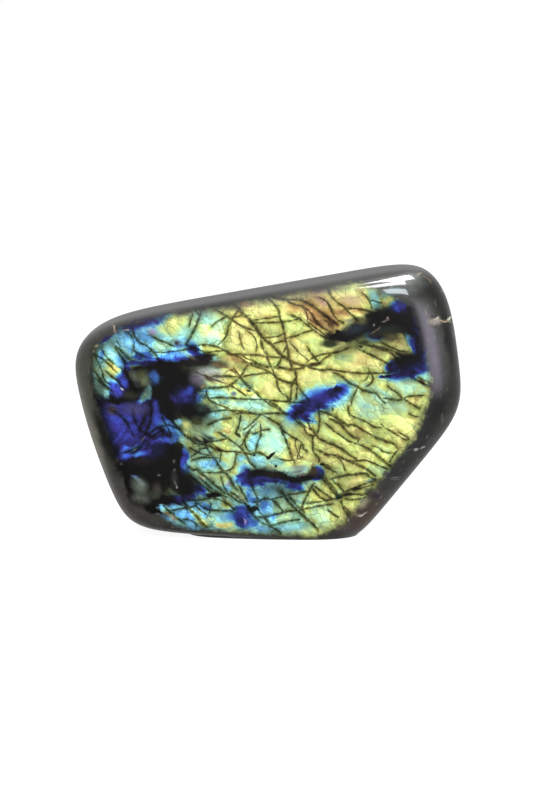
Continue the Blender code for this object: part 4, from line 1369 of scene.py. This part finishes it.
def three_strokes_group():
    """Three bent strokes of the fractures at once, one in each part of its vectors. Nearest is the smallest
    squared distance to a stroke so far, in half widths, and a stroke tapers to nothing at its two ends."""
    inputs = {**CRACK_INPUTS, **dict.fromkeys(STROKE_PARTS, VECTOR)}
    graph, source, give = new_group("three crack strokes", inputs, ("Nearest", VECTOR))
    place = (source["X"], source["Z"])
    along = measured(graph, place, source["Along X"], source["Along Z"], source["Along Start"])
    across = measured(graph, place, source["Across X"], source["Across Z"], source["Across Start"])
    squared = graph.vector("MULTIPLY", along, along)
    bent = graph.vector("MULTIPLY_ADD", squared, source["Bend"], across)
    fourth = graph.vector("MULTIPLY", squared, squared)
    taper = graph.vector("MULTIPLY", fourth, fourth)
    away = graph.vector("MULTIPLY_ADD", bent, bent, taper)
    give(graph.vector("MINIMUM", source["Nearest"], away))
    return graph.tree


def strokes_of(points):
    """Takes a fracture's places two steps at a time, as strokes with a start, a place halfway and an end."""
    index = 0
    while index < len(points) - 1:
        if index + 2 < len(points):
            yield points[index], points[index + 1], points[index + 2]
            index += 2
        else:
            start, end = points[index], points[index + 1]
            halfway = ((start[0] + end[0]) / 2.0, (start[1] + end[1]) / 2.0)
            yield start, halfway, end
            index += 1


def stroke_numbers(start, halfway, end, width):
    """The STROKE_PARTS of a stroke that runs from start to end through halfway."""
    middle = ((start[0] + end[0]) / 2.0, (start[1] + end[1]) / 2.0)
    half_length = math.dist(start, end) / 2.0
    forward = ((end[0] - middle[0]) / half_length, (end[1] - middle[1]) / half_length)
    sideways = (-forward[1], forward[0])
    off = (halfway[0] - middle[0], halfway[1] - middle[1])
    share = (off[0] * forward[0] + off[1] * forward[1]) / half_length
    room = max(1.0 - share * share, LEAST_ROOM)
    bow = (off[0] * sideways[0] + off[1] * sideways[1]) / room / width
    length = half_length * STROKE_OVERLAP
    along_start = -(middle[0] * forward[0] + middle[1] * forward[1]) / length
    across_start = -(middle[0] * sideways[0] + middle[1] * sideways[1]) / width - bow
    return (
        forward[0] / length, forward[1] / length, along_start,
        sideways[0] / width, sideways[1] / width, across_start,
        bow * STROKE_OVERLAP ** 2,
    )


def crack_area_group(number, rows, three_strokes):
    """The fractures of one area, three strokes at a time."""
    graph, source, give = new_group(f"crack area {number}", CRACK_INPUTS, ("Nearest", VECTOR))
    strokes = []
    for width, *points in rows:
        for start, halfway, end in strokes_of(points):
            strokes.append(stroke_numbers(start, halfway, end, width))
    while len(strokes) % 3:
        strokes.append(strokes[-1])
    nearest = source["Nearest"]
    for index in range(0, len(strokes), 3):
        numbers = dict(zip(STROKE_PARTS, zip(*strokes[index:index + 3])))
        places = {"X": source["X"], "Z": source["Z"], "Nearest": nearest}
        nearest = graph.group(three_strokes, {**places, **numbers})
    give(nearest)
    return graph.tree


# The finish of the stone
# ----------------------------------------------------------

# The sheets that flash lie aslant in the stone: for each millimetre towards the back, from FRONT_DEPTH
# behind the front on, a place takes its colours from this much farther along x and z.
SHEET_SLANT_X = 0.35
SHEET_SLANT_Z = -0.20
FRONT_DEPTH = 5.0

# Clouds of noise: how many to a millimetre, how many finer layers they have and, where it isn't the usual,
# how rough they are.
CLOUDS = {
    "colour drift": (0.40, 3.0, 0.55),
    "face grain": (0.8, 3.0, 0.55),
    "crack reach": (0.45, 3.0, 0.6),
    "crack breaks": (1.3, 2.0, 0.6),
    "hairline patches": (0.25, 1.0),
    "flash border": (0.5, 3.0, 0.6),
    "body": (0.13, 3.0),
    "body streaks": (0.9, 4.0, 0.65),
    "body grain": (0.9, 3.0, 0.6),
    "speck patches": (0.35, 2.0),
    "dull stone": (0.055, 3.0, 0.6),
    "ripples": (0.35, 2.0),
    "polish lines": (0.8, 2.0, 0.55),
}

# How the places of a layer are bent: noises to a millimetre, and how far each bends, in millimetres.
FACE_BENDS = ((0.22, 0.4), (0.9, 0.25))
CRACK_BENDS = ((0.5, 0.16), (1.6, 0.09))
RIM_BENDS = ((0.3, 0.8), (1.2, 0.25))

# Plates and specks to a millimetre, the slant of the plates and how much longer than wide they are.
LARGE_PLATES = 0.36
SMALL_PLATES = 0.95
HAIRLINE_PLATES = 0.62
SPECKS = 0.8
PLATE_TILT = math.radians(35.0)
PLATE_STRETCH = (1.7, 1.0, 1.0)

# What one plate changes against the next: the place of the pattern in millimetres, the place along the run
# of colours, and the brightness. The slope is how the brightness grows across a plate.
PlateChange = namedtuple("PlateChange", "shift hue bright")
LARGE_CHANGE = PlateChange(0.4, 0.035, 0.22)
SMALL_CHANGE = PlateChange(0.22, 0.02, 0.09)
PLATE_SLOPE = (0.05, 0.10, 0.0)

# What the clouds change: the place along the run of colours, then the brightness of the face and the body.
COLOUR_DRIFT = 0.055
FACE_GRAIN = 0.20
BODY_STREAKS = 0.42
BODY_GRAIN = 0.20

# What shows where no row of the flash lies, the least light that a colour is worked out from, how the flash
# fades into the dark, and how far the marks follow the shift of the plates.
COMMON_FLASH = 0.72
COMMON_BRIGHT = 1.19
LEAST_LIT = 0.01
FADE_TO_DARK = 1.8
MARK_SHIFT = 0.15

# Fractures, in half widths from the middle of a stroke: where the dark ends at least, what the two clouds
# add to that, where it is full, and where the dulled border ends and is full. Squared distances start at
# FAR_AWAY.
FAR_AWAY = (400.0, 400.0, 400.0)
CRACK_EDGE = 0.2
CRACK_EDGE_REACH = 4.6
CRACK_EDGE_BREAKS = 1.6
CRACK_FULL = 0.3
BORDER_EDGE = 11.0
BORDER_FULL = 1.0

# How strong a layer is at most.
BORDER_SHARE = 0.85
HAIRLINE_SHARE = 0.62
SPECK_SHARE = 0.5

# Steps: where a value begins to count and where it counts in full, then what it counts where that isn't 0
# and 1. The hairlines and specks go by the distance in their cells, the outline and the back by
# millimetres, and the others by a cloud.
CRACK_DARKNESS = (0.34, 0.58, 0.70, 0.98)
BORDER_PATCHES = (0.34, 0.56)
HAIRLINE_EDGE = (0.06, 0.012)
HAIRLINE_PATCHES = (0.38, 0.58)
SPECK_EDGE = (0.30, 0.10)
SPECK_PATCHES = (0.54, 0.68)
BODY_PATCHES = (0.35, 0.65)
DULL_PATCHES = (0.40, 0.55)
DULL_BACK = (-6.0, 8.0, 0.0, 0.95)
OUTLINE_EDGE = (-0.9, 0.7)
OUTLINE_SHADE = (-0.4, 2.6, 0.30, 1.0)

# How ragged the outline of the flash is, in millimetres, the slope of the stone's top edge, and how far the
# streaks of its body are drawn out along it.
BORDER_RAGGEDNESS = 1.6
TOP_SLOPE = math.radians(10.0)
STREAK_STRETCH = (6.0, 3.0, 1.0)

# The polish: how much the dull stone under it mirrors, and the ripples and lines that the wheel left.
UNDER_MIRROR = 0.3
LINES_SHARE = 1.2
RIPPLE_STRENGTH = 0.25
RIPPLE_HEIGHT = 0.00006


def stone_places(graph):
    """A place on the stone in millimetres, the x and z that it takes its colours from, and its parts."""
    coordinates = graph.add("ShaderNodeTexCoord").outputs
    place = graph.vector("MULTIPLY", coordinates["Object"], (1.0 / MILLIMETRE,) * 3)
    parts = graph.parts(place)
    depth = graph.math("ADD", parts["Y"], HIGHEST.y / MILLIMETRE - FRONT_DEPTH)
    depth = graph.math("MAXIMUM", depth, 0.0)
    x = graph.math("MULTIPLY_ADD", depth, SHEET_SLANT_X, parts["X"])
    z = graph.math("MULTIPLY_ADD", depth, SHEET_SLANT_Z, parts["Z"])
    return place, x, z, parts


def face_place(graph, x, z, place, bends):
    """The place (x, 1, z) on the face, bent by noises."""
    flat = graph.add("ShaderNodeCombineXYZ", {"X": x, "Y": 1.0, "Z": z}).outputs[0]
    for scale, amount in bends:
        flat = shifted(graph, flat, graph.noise(place, scale, 1.0)[1], amount)
    return flat


def mapped(graph, place, rotation, scale):
    """A place turned and stretched, for a pattern that lies aslant."""
    inputs = {"Vector": place, "Rotation": rotation, "Scale": scale}
    return graph.add("ShaderNodeMapping", inputs, vector_type="TEXTURE").outputs[0]


def shifted(graph, flat, colour, amount):
    """A face place moved by up to amount millimetres each way, as a colour's red and blue say."""
    flat = graph.vector("MULTIPLY_ADD", colour, (2.0 * amount, 0.0, 2.0 * amount), flat)
    return graph.vector("SUBTRACT", flat, (amount, 0.0, amount))


def flash_ramp(graph, flash, colours):
    """The colour at a place along the run of flash colours."""
    ramp = graph.add("ShaderNodeValToRGB", {"Fac": flash})
    elements = ramp.color_ramp.elements
    stops = colours.stops()
    for element, (position, colour) in zip(elements, (stops[0], stops[-1])):
        element.position = position
        element.color = (*colour, 1.0)
    for position, colour in stops[1:-1]:
        elements.new(position).color = (*colour, 1.0)
    return ramp.outputs["Color"]


def centred(graph, value, amount):
    """A value from 0 to 1, made to run from minus to plus amount."""
    return graph.math("MULTIPLY_ADD", value, 2.0 * amount, -amount)


def around_one(graph, value, amount):
    """A value from 0 to 1, made to run from amount below 1 to amount above it."""
    return graph.math("MULTIPLY_ADD", value, 2.0 * amount, 1.0 - amount)


def face_colour(graph, place, x, z, colours):
    """The colour under the polish: flash areas and plates, and the marks on them."""
    warped = face_place(graph, x, z, place, FACE_BENDS)

    # Plates a few millimetres across. Each has its own shift of the pattern, colour and brightness.
    slanted = mapped(graph, warped, (math.pi / 2.0, PLATE_TILT, 0.0), PLATE_STRETCH)
    large = graph.plates(slanted, LARGE_PLATES).outputs
    small = graph.plates(slanted, SMALL_PLATES).outputs
    large_parts = graph.add("ShaderNodeSeparateColor", {0: large["Color"]}).outputs
    small_parts = graph.add("ShaderNodeSeparateColor", {0: small["Color"]}).outputs
    flash_place = shifted(graph, warped, large["Color"], LARGE_CHANGE.shift)
    flash_place = shifted(graph, flash_place, small["Color"], SMALL_CHANGE.shift)

    lit = graph.group(flash_group(), {"Face": flash_place, "Lit": (COMMON_FLASH, 1.0, 0.0)})
    lit = graph.parts(lit)
    flash = graph.math("DIVIDE", lit["X"], graph.math("MAXIMUM", lit["Y"], LEAST_LIT))
    large_hue = centred(graph, large_parts[0], LARGE_CHANGE.hue)
    small_hue = centred(graph, small_parts[0], SMALL_CHANGE.hue)
    shift = graph.math("ADD", large_hue, small_hue)
    drift = centred(graph, graph.cloud(place, "colour drift"), COLOUR_DRIFT)
    flash = graph.math("ADD", flash, graph.math("ADD", shift, drift))
    colour = flash_ramp(graph, flash, colours)

    # Brightness: plates, a slope inside each plate, then a fine grain.
    from_middle = graph.vector("SUBTRACT", slanted, large["Position"])
    slope = graph.vector("DOT_PRODUCT", from_middle, PLATE_SLOPE)
    bright = graph.math("ADD", around_one(graph, large_parts[1], LARGE_CHANGE.bright), slope)
    bright = graph.math("MULTIPLY", bright, around_one(graph, small_parts[1], SMALL_CHANGE.bright))
    grain = graph.cloud(place, "face grain")
    bright = graph.math("MULTIPLY", bright, around_one(graph, grain, FACE_GRAIN))
    shades = graph.group(shades_group(), {"Face": warped, "Bright": COMMON_BRIGHT})
    bright = graph.math("MULTIPLY", bright, shades)
    colour = scale_colour(graph, colour, bright)
    colour = graph.blend(graph.math("POWER", lit["Y"], FADE_TO_DARK), colours.black, colour)

    # The marks follow the shift of the plates only a little.
    mark_place = graph.vector("MULTIPLY", flash_place, (MARK_SHIFT,) * 3)
    mark_place = graph.vector("MULTIPLY_ADD", warped, (1.0 - MARK_SHIFT,) * 3, mark_place)
    colour = graph.group(marks_group("face marks", FACE_MARKS), {"Face": mark_place, "Colour": colour})
    return colour, slanted


def scale_colour(graph, colour, amount):
    """The colour made amount times as bright, as a step from black that may go past its end."""
    return graph.blend(amount, (0.0, 0.0, 0.0), colour, clamp_factor=False)


def add_fractures(graph, colour, place, x, z, slanted, colours):
    """A colour with the fractures, their dulled borders and the hairlines between plates over it."""
    sharp = face_place(graph, x, z, place, CRACK_BENDS)
    parts = graph.parts(sharp)
    all_x = graph.thrice(parts["X"])
    all_z = graph.thrice(parts["Z"])
    three_strokes = three_strokes_group()
    nearest = FAR_AWAY
    for number, rows in enumerate(CRACKS):
        area = crack_area_group(number, rows, three_strokes)
        nearest = graph.group(area, {"X": all_x, "Z": all_z, "Nearest": nearest})
    away = graph.math("SQRT", graph.extreme("MINIMUM", nearest))
    uneven = graph.cloud(place, "crack reach")
    fine = graph.cloud(place, "crack breaks")
    edge = graph.math("MULTIPLY_ADD", uneven, CRACK_EDGE_REACH, CRACK_EDGE)
    edge = graph.math("MULTIPLY_ADD", fine, CRACK_EDGE_BREAKS, edge)
    dark = graph.steps(away, edge, CRACK_FULL)
    dark = graph.math("MULTIPLY", dark, graph.steps(fine, *CRACK_DARKNESS))
    deep = graph.math("MULTIPLY", graph.steps(uneven, *BORDER_PATCHES), BORDER_SHARE)
    shade = graph.steps(away, BORDER_EDGE, BORDER_FULL, 0.0, deep)

    # Hairlines between the plates.
    hair = graph.plates(slanted, HAIRLINE_PLATES, "DISTANCE_TO_EDGE").outputs["Distance"]
    hair = graph.steps(hair, *HAIRLINE_EDGE)
    patchy = graph.steps(graph.cloud(place, "hairline patches"), *HAIRLINE_PATCHES)
    hair = graph.math("MULTIPLY", graph.math("MULTIPLY", hair, patchy), HAIRLINE_SHARE)

    dark = graph.math("MAXIMUM", dark, hair)
    colour = graph.blend(shade, colour, colours.near_fracture, blend_type="MULTIPLY")
    cut = graph.blend(1.0, colour, colours.fracture, blend_type="MULTIPLY")
    return graph.blend(dark, colour, cut)


def inside_outline(graph, place, parts):
    """How far a place lies inside the outline of the flash, in millimetres."""
    all_x = graph.thrice(parts["X"])
    all_z = graph.thrice(parts["Z"])
    farthest = None
    for index in range(0, len(FLASH_OUTLINE), 3):
        sides = FLASH_OUTLINE[index:index + 3]
        along_x = [math.cos(math.radians(direction)) for direction, distance in sides]
        along_z = [math.sin(math.radians(direction)) for direction, distance in sides]
        start = [-distance for direction, distance in sides]
        beyond = measured(graph, (all_x, all_z), along_x, along_z, start)
        farthest = beyond if farthest is None else graph.vector("MAXIMUM", farthest, beyond)
    beyond = graph.extreme("MAXIMUM", farthest)
    ragged = centred(graph, graph.cloud(place, "flash border"), BORDER_RAGGEDNESS)
    return graph.math("SUBTRACT", ragged, beyond)


def drawn_out(graph, place):
    """A place for noise that is drawn out along the top edge of the stone."""
    return mapped(graph, place, (0.0, -TOP_SLOPE, 0.0), STREAK_STRETCH)


def rim_colour(graph, place, parts, colours):
    """The stone's own grey on the bevels, with its clouds, painted reflections, streaks and specks."""
    greyness = graph.steps(graph.cloud(place, "body"), *BODY_PATCHES)
    colour = graph.blend(greyness, colours.body_olive, colours.body_grey)
    rim_place = face_place(graph, parts["X"], parts["Z"], place, RIM_BENDS)
    colour = graph.group(marks_group("rim clouds", RIM_CLOUDS_AND_REFLECTIONS), {"Face": rim_place, "Colour": colour})
    streak = graph.cloud(drawn_out(graph, place), "body streaks")
    grain = graph.cloud(place, "body grain")
    streak = around_one(graph, streak, BODY_STREAKS)
    grain = around_one(graph, grain, BODY_GRAIN)
    colour = scale_colour(graph, colour, graph.math("MULTIPLY", streak, grain))
    speck = graph.plates(place, SPECKS).outputs["Distance"]
    speck = graph.steps(speck, *SPECK_EDGE)
    rare = graph.steps(graph.cloud(place, "speck patches"), *SPECK_PATCHES)
    speck = graph.math("MULTIPLY", graph.math("MULTIPLY", speck, rare), SPECK_SHARE)
    colour = graph.blend(speck, colour, colours.speck)
    return graph.group(marks_group("rim marks", RIM_MARKS_AND_REFLECTION), {"Face": rim_place, "Colour": colour})


def stone_material(colours, polish):
    """The stone: flash and fractures inside its outline, dull stone outside it, and the polish."""
    material, graph, shader = new_material(STONE_SLOT)
    place, x, z, parts = stone_places(graph)
    colour, slanted = face_colour(graph, place, x, z, colours)
    colour = add_fractures(graph, colour, place, x, z, slanted, colours)

    inside = inside_outline(graph, place, parts)
    colour = scale_colour(graph, colour, graph.steps(inside, *OUTLINE_SHADE))
    rim = rim_colour(graph, place, parts, colours)

    # Behind the middle, much of the face is dull stone.
    dull = graph.steps(graph.cloud(place, "dull stone"), *DULL_PATCHES)
    dull = graph.math("MULTIPLY", dull, graph.steps(parts["Y"], *DULL_BACK))
    flash_share = graph.math("MULTIPLY_ADD", dull, -1.0, 1.0)
    flash_share = graph.math("MULTIPLY", flash_share, graph.steps(inside, *OUTLINE_EDGE))
    colour = graph.blend(flash_share, rim, colour)

    graph.feed(shader.inputs["Base Color"], colour)
    shader.inputs["Roughness"].default_value = polish.under_roughness
    shader.inputs["Coat Weight"].default_value = 1.0
    shader.inputs["Coat Roughness"].default_value = polish.coat_roughness
    shader.inputs["Coat IOR"].default_value = polish.index
    shader.inputs["IOR"].default_value = polish.index
    shader.inputs["Specular IOR Level"].default_value = UNDER_MIRROR

    ripple = graph.cloud(place, "ripples")
    lines = graph.cloud(drawn_out(graph, place), "polish lines")
    ripple = graph.math("MULTIPLY_ADD", lines, LINES_SHARE, ripple)
    inputs = {"Height": ripple, "Strength": RIPPLE_STRENGTH, "Distance": RIPPLE_HEIGHT}
    bump = graph.add("ShaderNodeBump", inputs)
    graph.feed(shader.inputs["Normal"], bump.outputs[0])
    return material


# Settings
# ----------------------------------------------------------


def length_property(name, description, metres):
    """A setting that is a length."""
    return bpy.props.FloatProperty(
        name=name,
        description=description,
        default=metres,
        min=0.0,
        precision=4,
        subtype="DISTANCE",
        unit="LENGTH",
    )


def number_property(name, description, value):
    """A setting that is a plain number."""
    return bpy.props.FloatProperty(name=name, description=description, default=value, min=0.0)


def colour_property(name, description, red, green, blue):
    """A setting that is a colour, given in screen values."""
    return bpy.props.FloatVectorProperty(
        name=name,
        description=description,
        default=paint(red, green, blue),
        size=3,
        min=0.0,
        max=1.0,
        subtype="COLOR",
    )


class StoneShape(bpy.types.PropertyGroup):
    """The sizes that the ground stone is worked out from."""

    half_thickness: length_property("Half thickness", "Half of the stone's depth", HIGHEST.y)
    bevel_tilt: number_property("Bevel tilt", "Slant of the bevels, in degrees from the faces", 45.0)
    face_bulge: number_property("Face bulge", "How strongly the two faces swell", 0.30)
    corner_sharpness: number_property("Corner sharpness", "How tight the outline's corners are", 15.7)
    edge_sharpness: number_property("Edge sharpness", "How tight the edges of the bevels are", 24.0)
    base_chamfer: length_property("Base chamfer", "Broken edge round the flat base", 0.0006)
    wear_depth: length_property("Wear", "How far hand grinding sank the surface at most", 0.00010)
    cells: bpy.props.IntVectorProperty(
        name="Cells", description="Mesh cells along x, y and z", default=(190, 64, 134), min=4, size=3
    )


class StonePolish(bpy.types.PropertyGroup):
    """How the polished surface takes light."""

    under_roughness: number_property("Roughness", "Roughness of the stone under its polish", 0.45)
    coat_roughness: number_property("Polish roughness", "Roughness of the polished skin", 0.05)
    index: number_property("Refractive index", "Refractive index of the feldspar", 1.56)


class FlashColours(bpy.types.PropertyGroup):
    """The colours that the stone flashes, in order, and those of its body."""

    black: colour_property("Dead", "Where no sheet flashes", 15, 14, 13)
    night: colour_property("Night", "First glimmer", 15, 15, 34)
    navy: colour_property("Navy", "Deep end of the flash", 22, 24, 78)
    violet: colour_property("Violet", "Violet blue", 44, 41, 136)
    royal: colour_property("Royal", "Royal blue", 44, 66, 176)
    azure: colour_property("Azure", "Azure blue", 64, 124, 206)
    sky: colour_property("Sky", "Sky blue", 108, 180, 224)
    cyan: colour_property("Cyan", "Pale cyan", 146, 216, 226)
    aqua: colour_property("Aqua", "Grey green", 142, 204, 190)
    mint: colour_property("Mint", "Pale mint", 178, 220, 178)
    lime: colour_property("Lime", "Yellow green", 204, 222, 130)
    cream: colour_property("Cream", "Pale yellow", 232, 230, 146)
    gold: colour_property("Gold", "Gold", 206, 184, 108)
    tan: colour_property("Tan", "Orange tan", 184, 148, 96)
    brown: colour_property("Brown", "Brown end of the flash", 112, 84, 46)
    fracture: colour_property("Fracture", "What a fracture multiplies the colour by", 70, 68, 30)
    near_fracture: colour_property("Near a fracture", "What dulls the flash beside one", 182, 172, 126)
    body_olive: colour_property("Olive body", "The stone's own olive grey", 54, 54, 44)
    body_grey: colour_property("Grey body", "The stone's own grey", 66, 66, 64)
    speck: colour_property("Specks", "Pale grains in the body", 128, 124, 112)

    def stops(self):
        """The run of flash colours, each with its place along it."""
        return [(place, getattr(self, name)) for name, place in RUN.items()]


class StageSettings(bpy.types.PropertyGroup):
    """The floor, the light and the camera."""

    floor_size: length_property("Floor", "Side of the square floor", 8.0)
    floor_colour: colour_property("Floor colour", "Colour of the floor", 150, 150, 150)
    floor_glow: number_property("Floor glow", "How strongly the floor shines by itself", 0.92)
    key_power: number_property("Key light", "Power of the light on the front face, in watts", 4.6)
    top_power: number_property("Top light", "Power of the light seen in the top bevel, in watts", 3.7)
    strip_power: number_property("Strip light", "Power of the strip seen below it, in watts", 1.7)
    soft_power: number_property("Soft light", "Power of the light seen at the top corner, in watts", 0.9)
    side_power: number_property("Side light", "Power of the light on the right bevel, in watts", 0.8)
    camera_distance: length_property("Camera distance", "From the camera to the stone", 0.5804)
    camera_height: number_property("Camera elevation", "How far the camera looks down, in degrees", 8.0)
    camera_lens: number_property("Lens", "Focal length in millimetres", 100.0)


# Operators
# ----------------------------------------------------------


class LABRADORITE_OT_stone(bpy.types.Operator):
    """Makes the polished stone in place of its plain solid"""

    bl_idname = "labradorite.stone"
    bl_label = "Polished stone"

    def execute(self, context):
        scene = context.scene
        stone = bpy.data.objects.new("polished_freeform", stone_mesh(scene.labradorite_shape))
        scene.collection.objects.link(stone)
        material = stone_material(scene.labradorite_colours, scene.labradorite_polish)
        stone.data.materials.append(material)
        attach(stone, STONE_BODY)
        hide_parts(STONE_NODE)
        return {"FINISHED"}


def look_at(thing, target):
    """Turns a light or a camera towards a place."""
    thing.rotation_euler = (Vector(target) - thing.location).to_track_quat("-Z", "Y").to_euler()


# Where each light stands, what it points at and its two sides, in metres. Those in the polish show there
# and light nothing else, and the others give the light but don't show in the polish.
Lamp = namedtuple("Lamp", "name place target size in_polish")
TOP_BEVEL = (0.033, -0.015, 0.067)
LAMPS = (
    Lamp("key", (-0.35, -0.85, 0.75), (0.0, 0.0, 0.03), (0.5, 0.5), False),
    Lamp("top", (0.120, 0.065, 0.55), TOP_BEVEL, (0.21, 0.26), True),
    Lamp("strip", (0.090, -0.145, 0.55), TOP_BEVEL, (0.24, 0.14), True),
    Lamp("soft", (0.150, -0.376, 0.376), TOP_BEVEL, (0.20, 0.17), True),
    Lamp("side", (0.60, -0.10, 0.12), (0.04, 0.0, 0.04), (0.30, 0.30), False),
)


def add_lamp(context, lamp, power):
    """Makes one of the LAMPS as an area light."""
    data = bpy.data.lights.new(lamp.name, "AREA")
    data.shape = "RECTANGLE"
    data.size, data.size_y = lamp.size
    data.energy = power
    light = bpy.data.objects.new(lamp.name, data)
    light.location = lamp.place
    look_at(light, lamp.target)
    light.visible_glossy = lamp.in_polish
    light.visible_diffuse = not lamp.in_polish
    light.visible_camera = False
    context.scene.collection.objects.link(light)


# How much darker than its full brightness the floor is in places, and how many clouds to a metre.
FLOOR_MOTTLE = 0.01
FLOOR_CLOUDS = 3.0


def add_floor(context, stage):
    """Makes the plain pale floor, which shines a little by itself."""
    mesh = bmesh.new()
    bmesh.ops.create_grid(mesh, x_segments=1, y_segments=1, size=stage.floor_size / 2.0)
    data = bpy.data.meshes.new("studio_floor")
    mesh.to_mesh(data)
    mesh.free()
    floor = bpy.data.objects.new("studio_floor", data)
    context.scene.collection.objects.link(floor)
    material, graph, shader = new_material("studio_floor")
    spread = graph.noise(graph.add("ShaderNodeTexCoord").outputs["Object"], FLOOR_CLOUDS)[0]
    tone = graph.math("MULTIPLY_ADD", spread, FLOOR_MOTTLE, 1.0 - FLOOR_MOTTLE)
    graph.feed(shader.inputs["Base Color"], scale_colour(graph, tuple(stage.floor_colour), tone))
    shader.inputs["Roughness"].default_value = 1.0
    shader.inputs["Specular IOR Level"].default_value = 0.0
    shader.inputs["Emission Color"].default_value = (1.0, 1.0, 1.0, 1.0)
    shader.inputs["Emission Strength"].default_value = stage.floor_glow
    data.materials.append(material)
    floor.visible_glossy = False


# How bright the surroundings are to the camera, as light on the stone, and in its polish: there in front,
# behind, and how far back a direction points that is fully behind.
WORLD_SEEN = 1.0
WORLD_LIGHT = 0.50
REFLECTED_IN_FRONT = 0.04
REFLECTED_BEHIND = 0.30
FULLY_BEHIND = 0.9

# A pale wall that only the polish shows: for x, y and z of a direction, where it starts, is full, ends
# being full and stops.
SOFT_WALL = ((0.40, 0.74, 2.0, 3.0), (-0.93, -0.84, -0.45, 0.22), (-0.26, 0.0, 0.14, 0.50))
WALL_STRENGTH = 2.7
WALL_TINT = (0.90, 0.85, 1.0)


def add_world(context):
    """A white backdrop: white to the camera, a soft light for the stone, and a pale wall in its polish."""
    world = bpy.data.worlds.new("studio")
    world.use_nodes = True
    graph = Graph(world.node_tree)
    ray = graph.add("ShaderNodeLightPath").outputs
    direction = graph.add("ShaderNodeTexCoord").outputs["Generated"]
    parts = graph.parts(direction)
    reflected = graph.steps(parts["Y"], 0.0, FULLY_BEHIND, REFLECTED_IN_FRONT, REFLECTED_BEHIND)
    wall = ray["Is Glossy Ray"]
    for part, (start, full, still_full, stop) in zip(parts, SOFT_WALL):
        wall = graph.math("MULTIPLY", wall, graph.steps(part, start, full))
        wall = graph.math("MULTIPLY", wall, graph.steps(part, stop, still_full))
    reflected = graph.math("MULTIPLY_ADD", wall, WALL_STRENGTH, reflected)
    strength = graph.mix(ray["Is Glossy Ray"], WORLD_LIGHT, reflected)
    strength = graph.mix(ray["Is Camera Ray"], strength, WORLD_SEEN)
    background = world.node_tree.nodes["Background"]
    graph.feed(background.inputs["Color"], graph.blend(wall, (1.0, 1.0, 1.0), WALL_TINT))
    graph.feed(background.inputs["Strength"], strength)
    context.scene.world = world


CAMERA_TARGET = Vector((-0.0005, 0.0, 0.0341))
SENSOR = 36.0
NEAREST_SEEN = 0.01


def add_camera(context, stage):
    """Makes the camera, which looks down a little on the front face."""
    data = bpy.data.cameras.new("camera")
    data.lens = stage.camera_lens
    data.sensor_width = SENSOR
    data.sensor_height = SENSOR
    data.sensor_fit = "VERTICAL"
    data.clip_start = NEAREST_SEEN
    camera = bpy.data.objects.new("camera", data)
    angle = math.radians(stage.camera_height)
    away = Vector((0.0, -math.cos(angle), math.sin(angle)))
    camera.location = CAMERA_TARGET + away * stage.camera_distance
    look_at(camera, CAMERA_TARGET)
    context.scene.collection.objects.link(camera)
    context.scene.camera = camera


class LABRADORITE_OT_stage(bpy.types.Operator):
    """Makes the floor, the soft light and the camera"""

    bl_idname = "labradorite.stage"
    bl_label = "Studio stage"

    def execute(self, context):
        stage = context.scene.labradorite_stage
        context.scene.view_settings.view_transform = "Standard"
        add_floor(context, stage)
        add_world(context)
        for lamp in LAMPS:
            add_lamp(context, lamp, getattr(stage, f"{lamp.name}_power"))
        add_camera(context, stage)
        return {"FINISHED"}


class LABRADORITE_PT_panel(bpy.types.Panel):
    """Lists the stone and its stage"""

    bl_idname = "LABRADORITE_PT_panel"
    bl_label = "Labradorite"
    bl_space_type = "VIEW_3D"
    bl_region_type = "UI"
    bl_category = "Labradorite"

    def draw(self, context):
        layout = self.layout
        scene = context.scene
        for title, operator, groups in (
            ("Stone", LABRADORITE_OT_stone, (scene.labradorite_shape, scene.labradorite_polish)),
            ("Colours", None, (scene.labradorite_colours,)),
            ("Stage", LABRADORITE_OT_stage, (scene.labradorite_stage,)),
        ):
            box = layout.box()
            box.label(text=title)
            for group in groups:
                for name in group.__annotations__:
                    box.prop(group, name)
            if operator:
                box.operator(operator.bl_idname)


CLASSES = (
    StoneShape,
    StonePolish,
    FlashColours,
    StageSettings,
    LABRADORITE_OT_stone,
    LABRADORITE_OT_stage,
    LABRADORITE_PT_panel,
)
SETTINGS = {
    "labradorite_shape": StoneShape,
    "labradorite_polish": StonePolish,
    "labradorite_colours": FlashColours,
    "labradorite_stage": StageSettings,
}


def register():
    """Adds the classes and the settings to Blender."""
    for item in CLASSES:
        bpy.utils.register_class(item)
    for name, group in SETTINGS.items():
        setattr(bpy.types.Scene, name, bpy.props.PointerProperty(type=group))


def unregister():
    """Takes the settings and the classes out again."""
    for name in SETTINGS:
        delattr(bpy.types.Scene, name)
    for item in reversed(CLASSES):
        bpy.utils.unregister_class(item)


def main():
    """Makes the stone and its stage."""
    register()
    bpy.ops.labradorite.stone()
    bpy.ops.labradorite.stage()


if __name__ == "__main__":
    main()
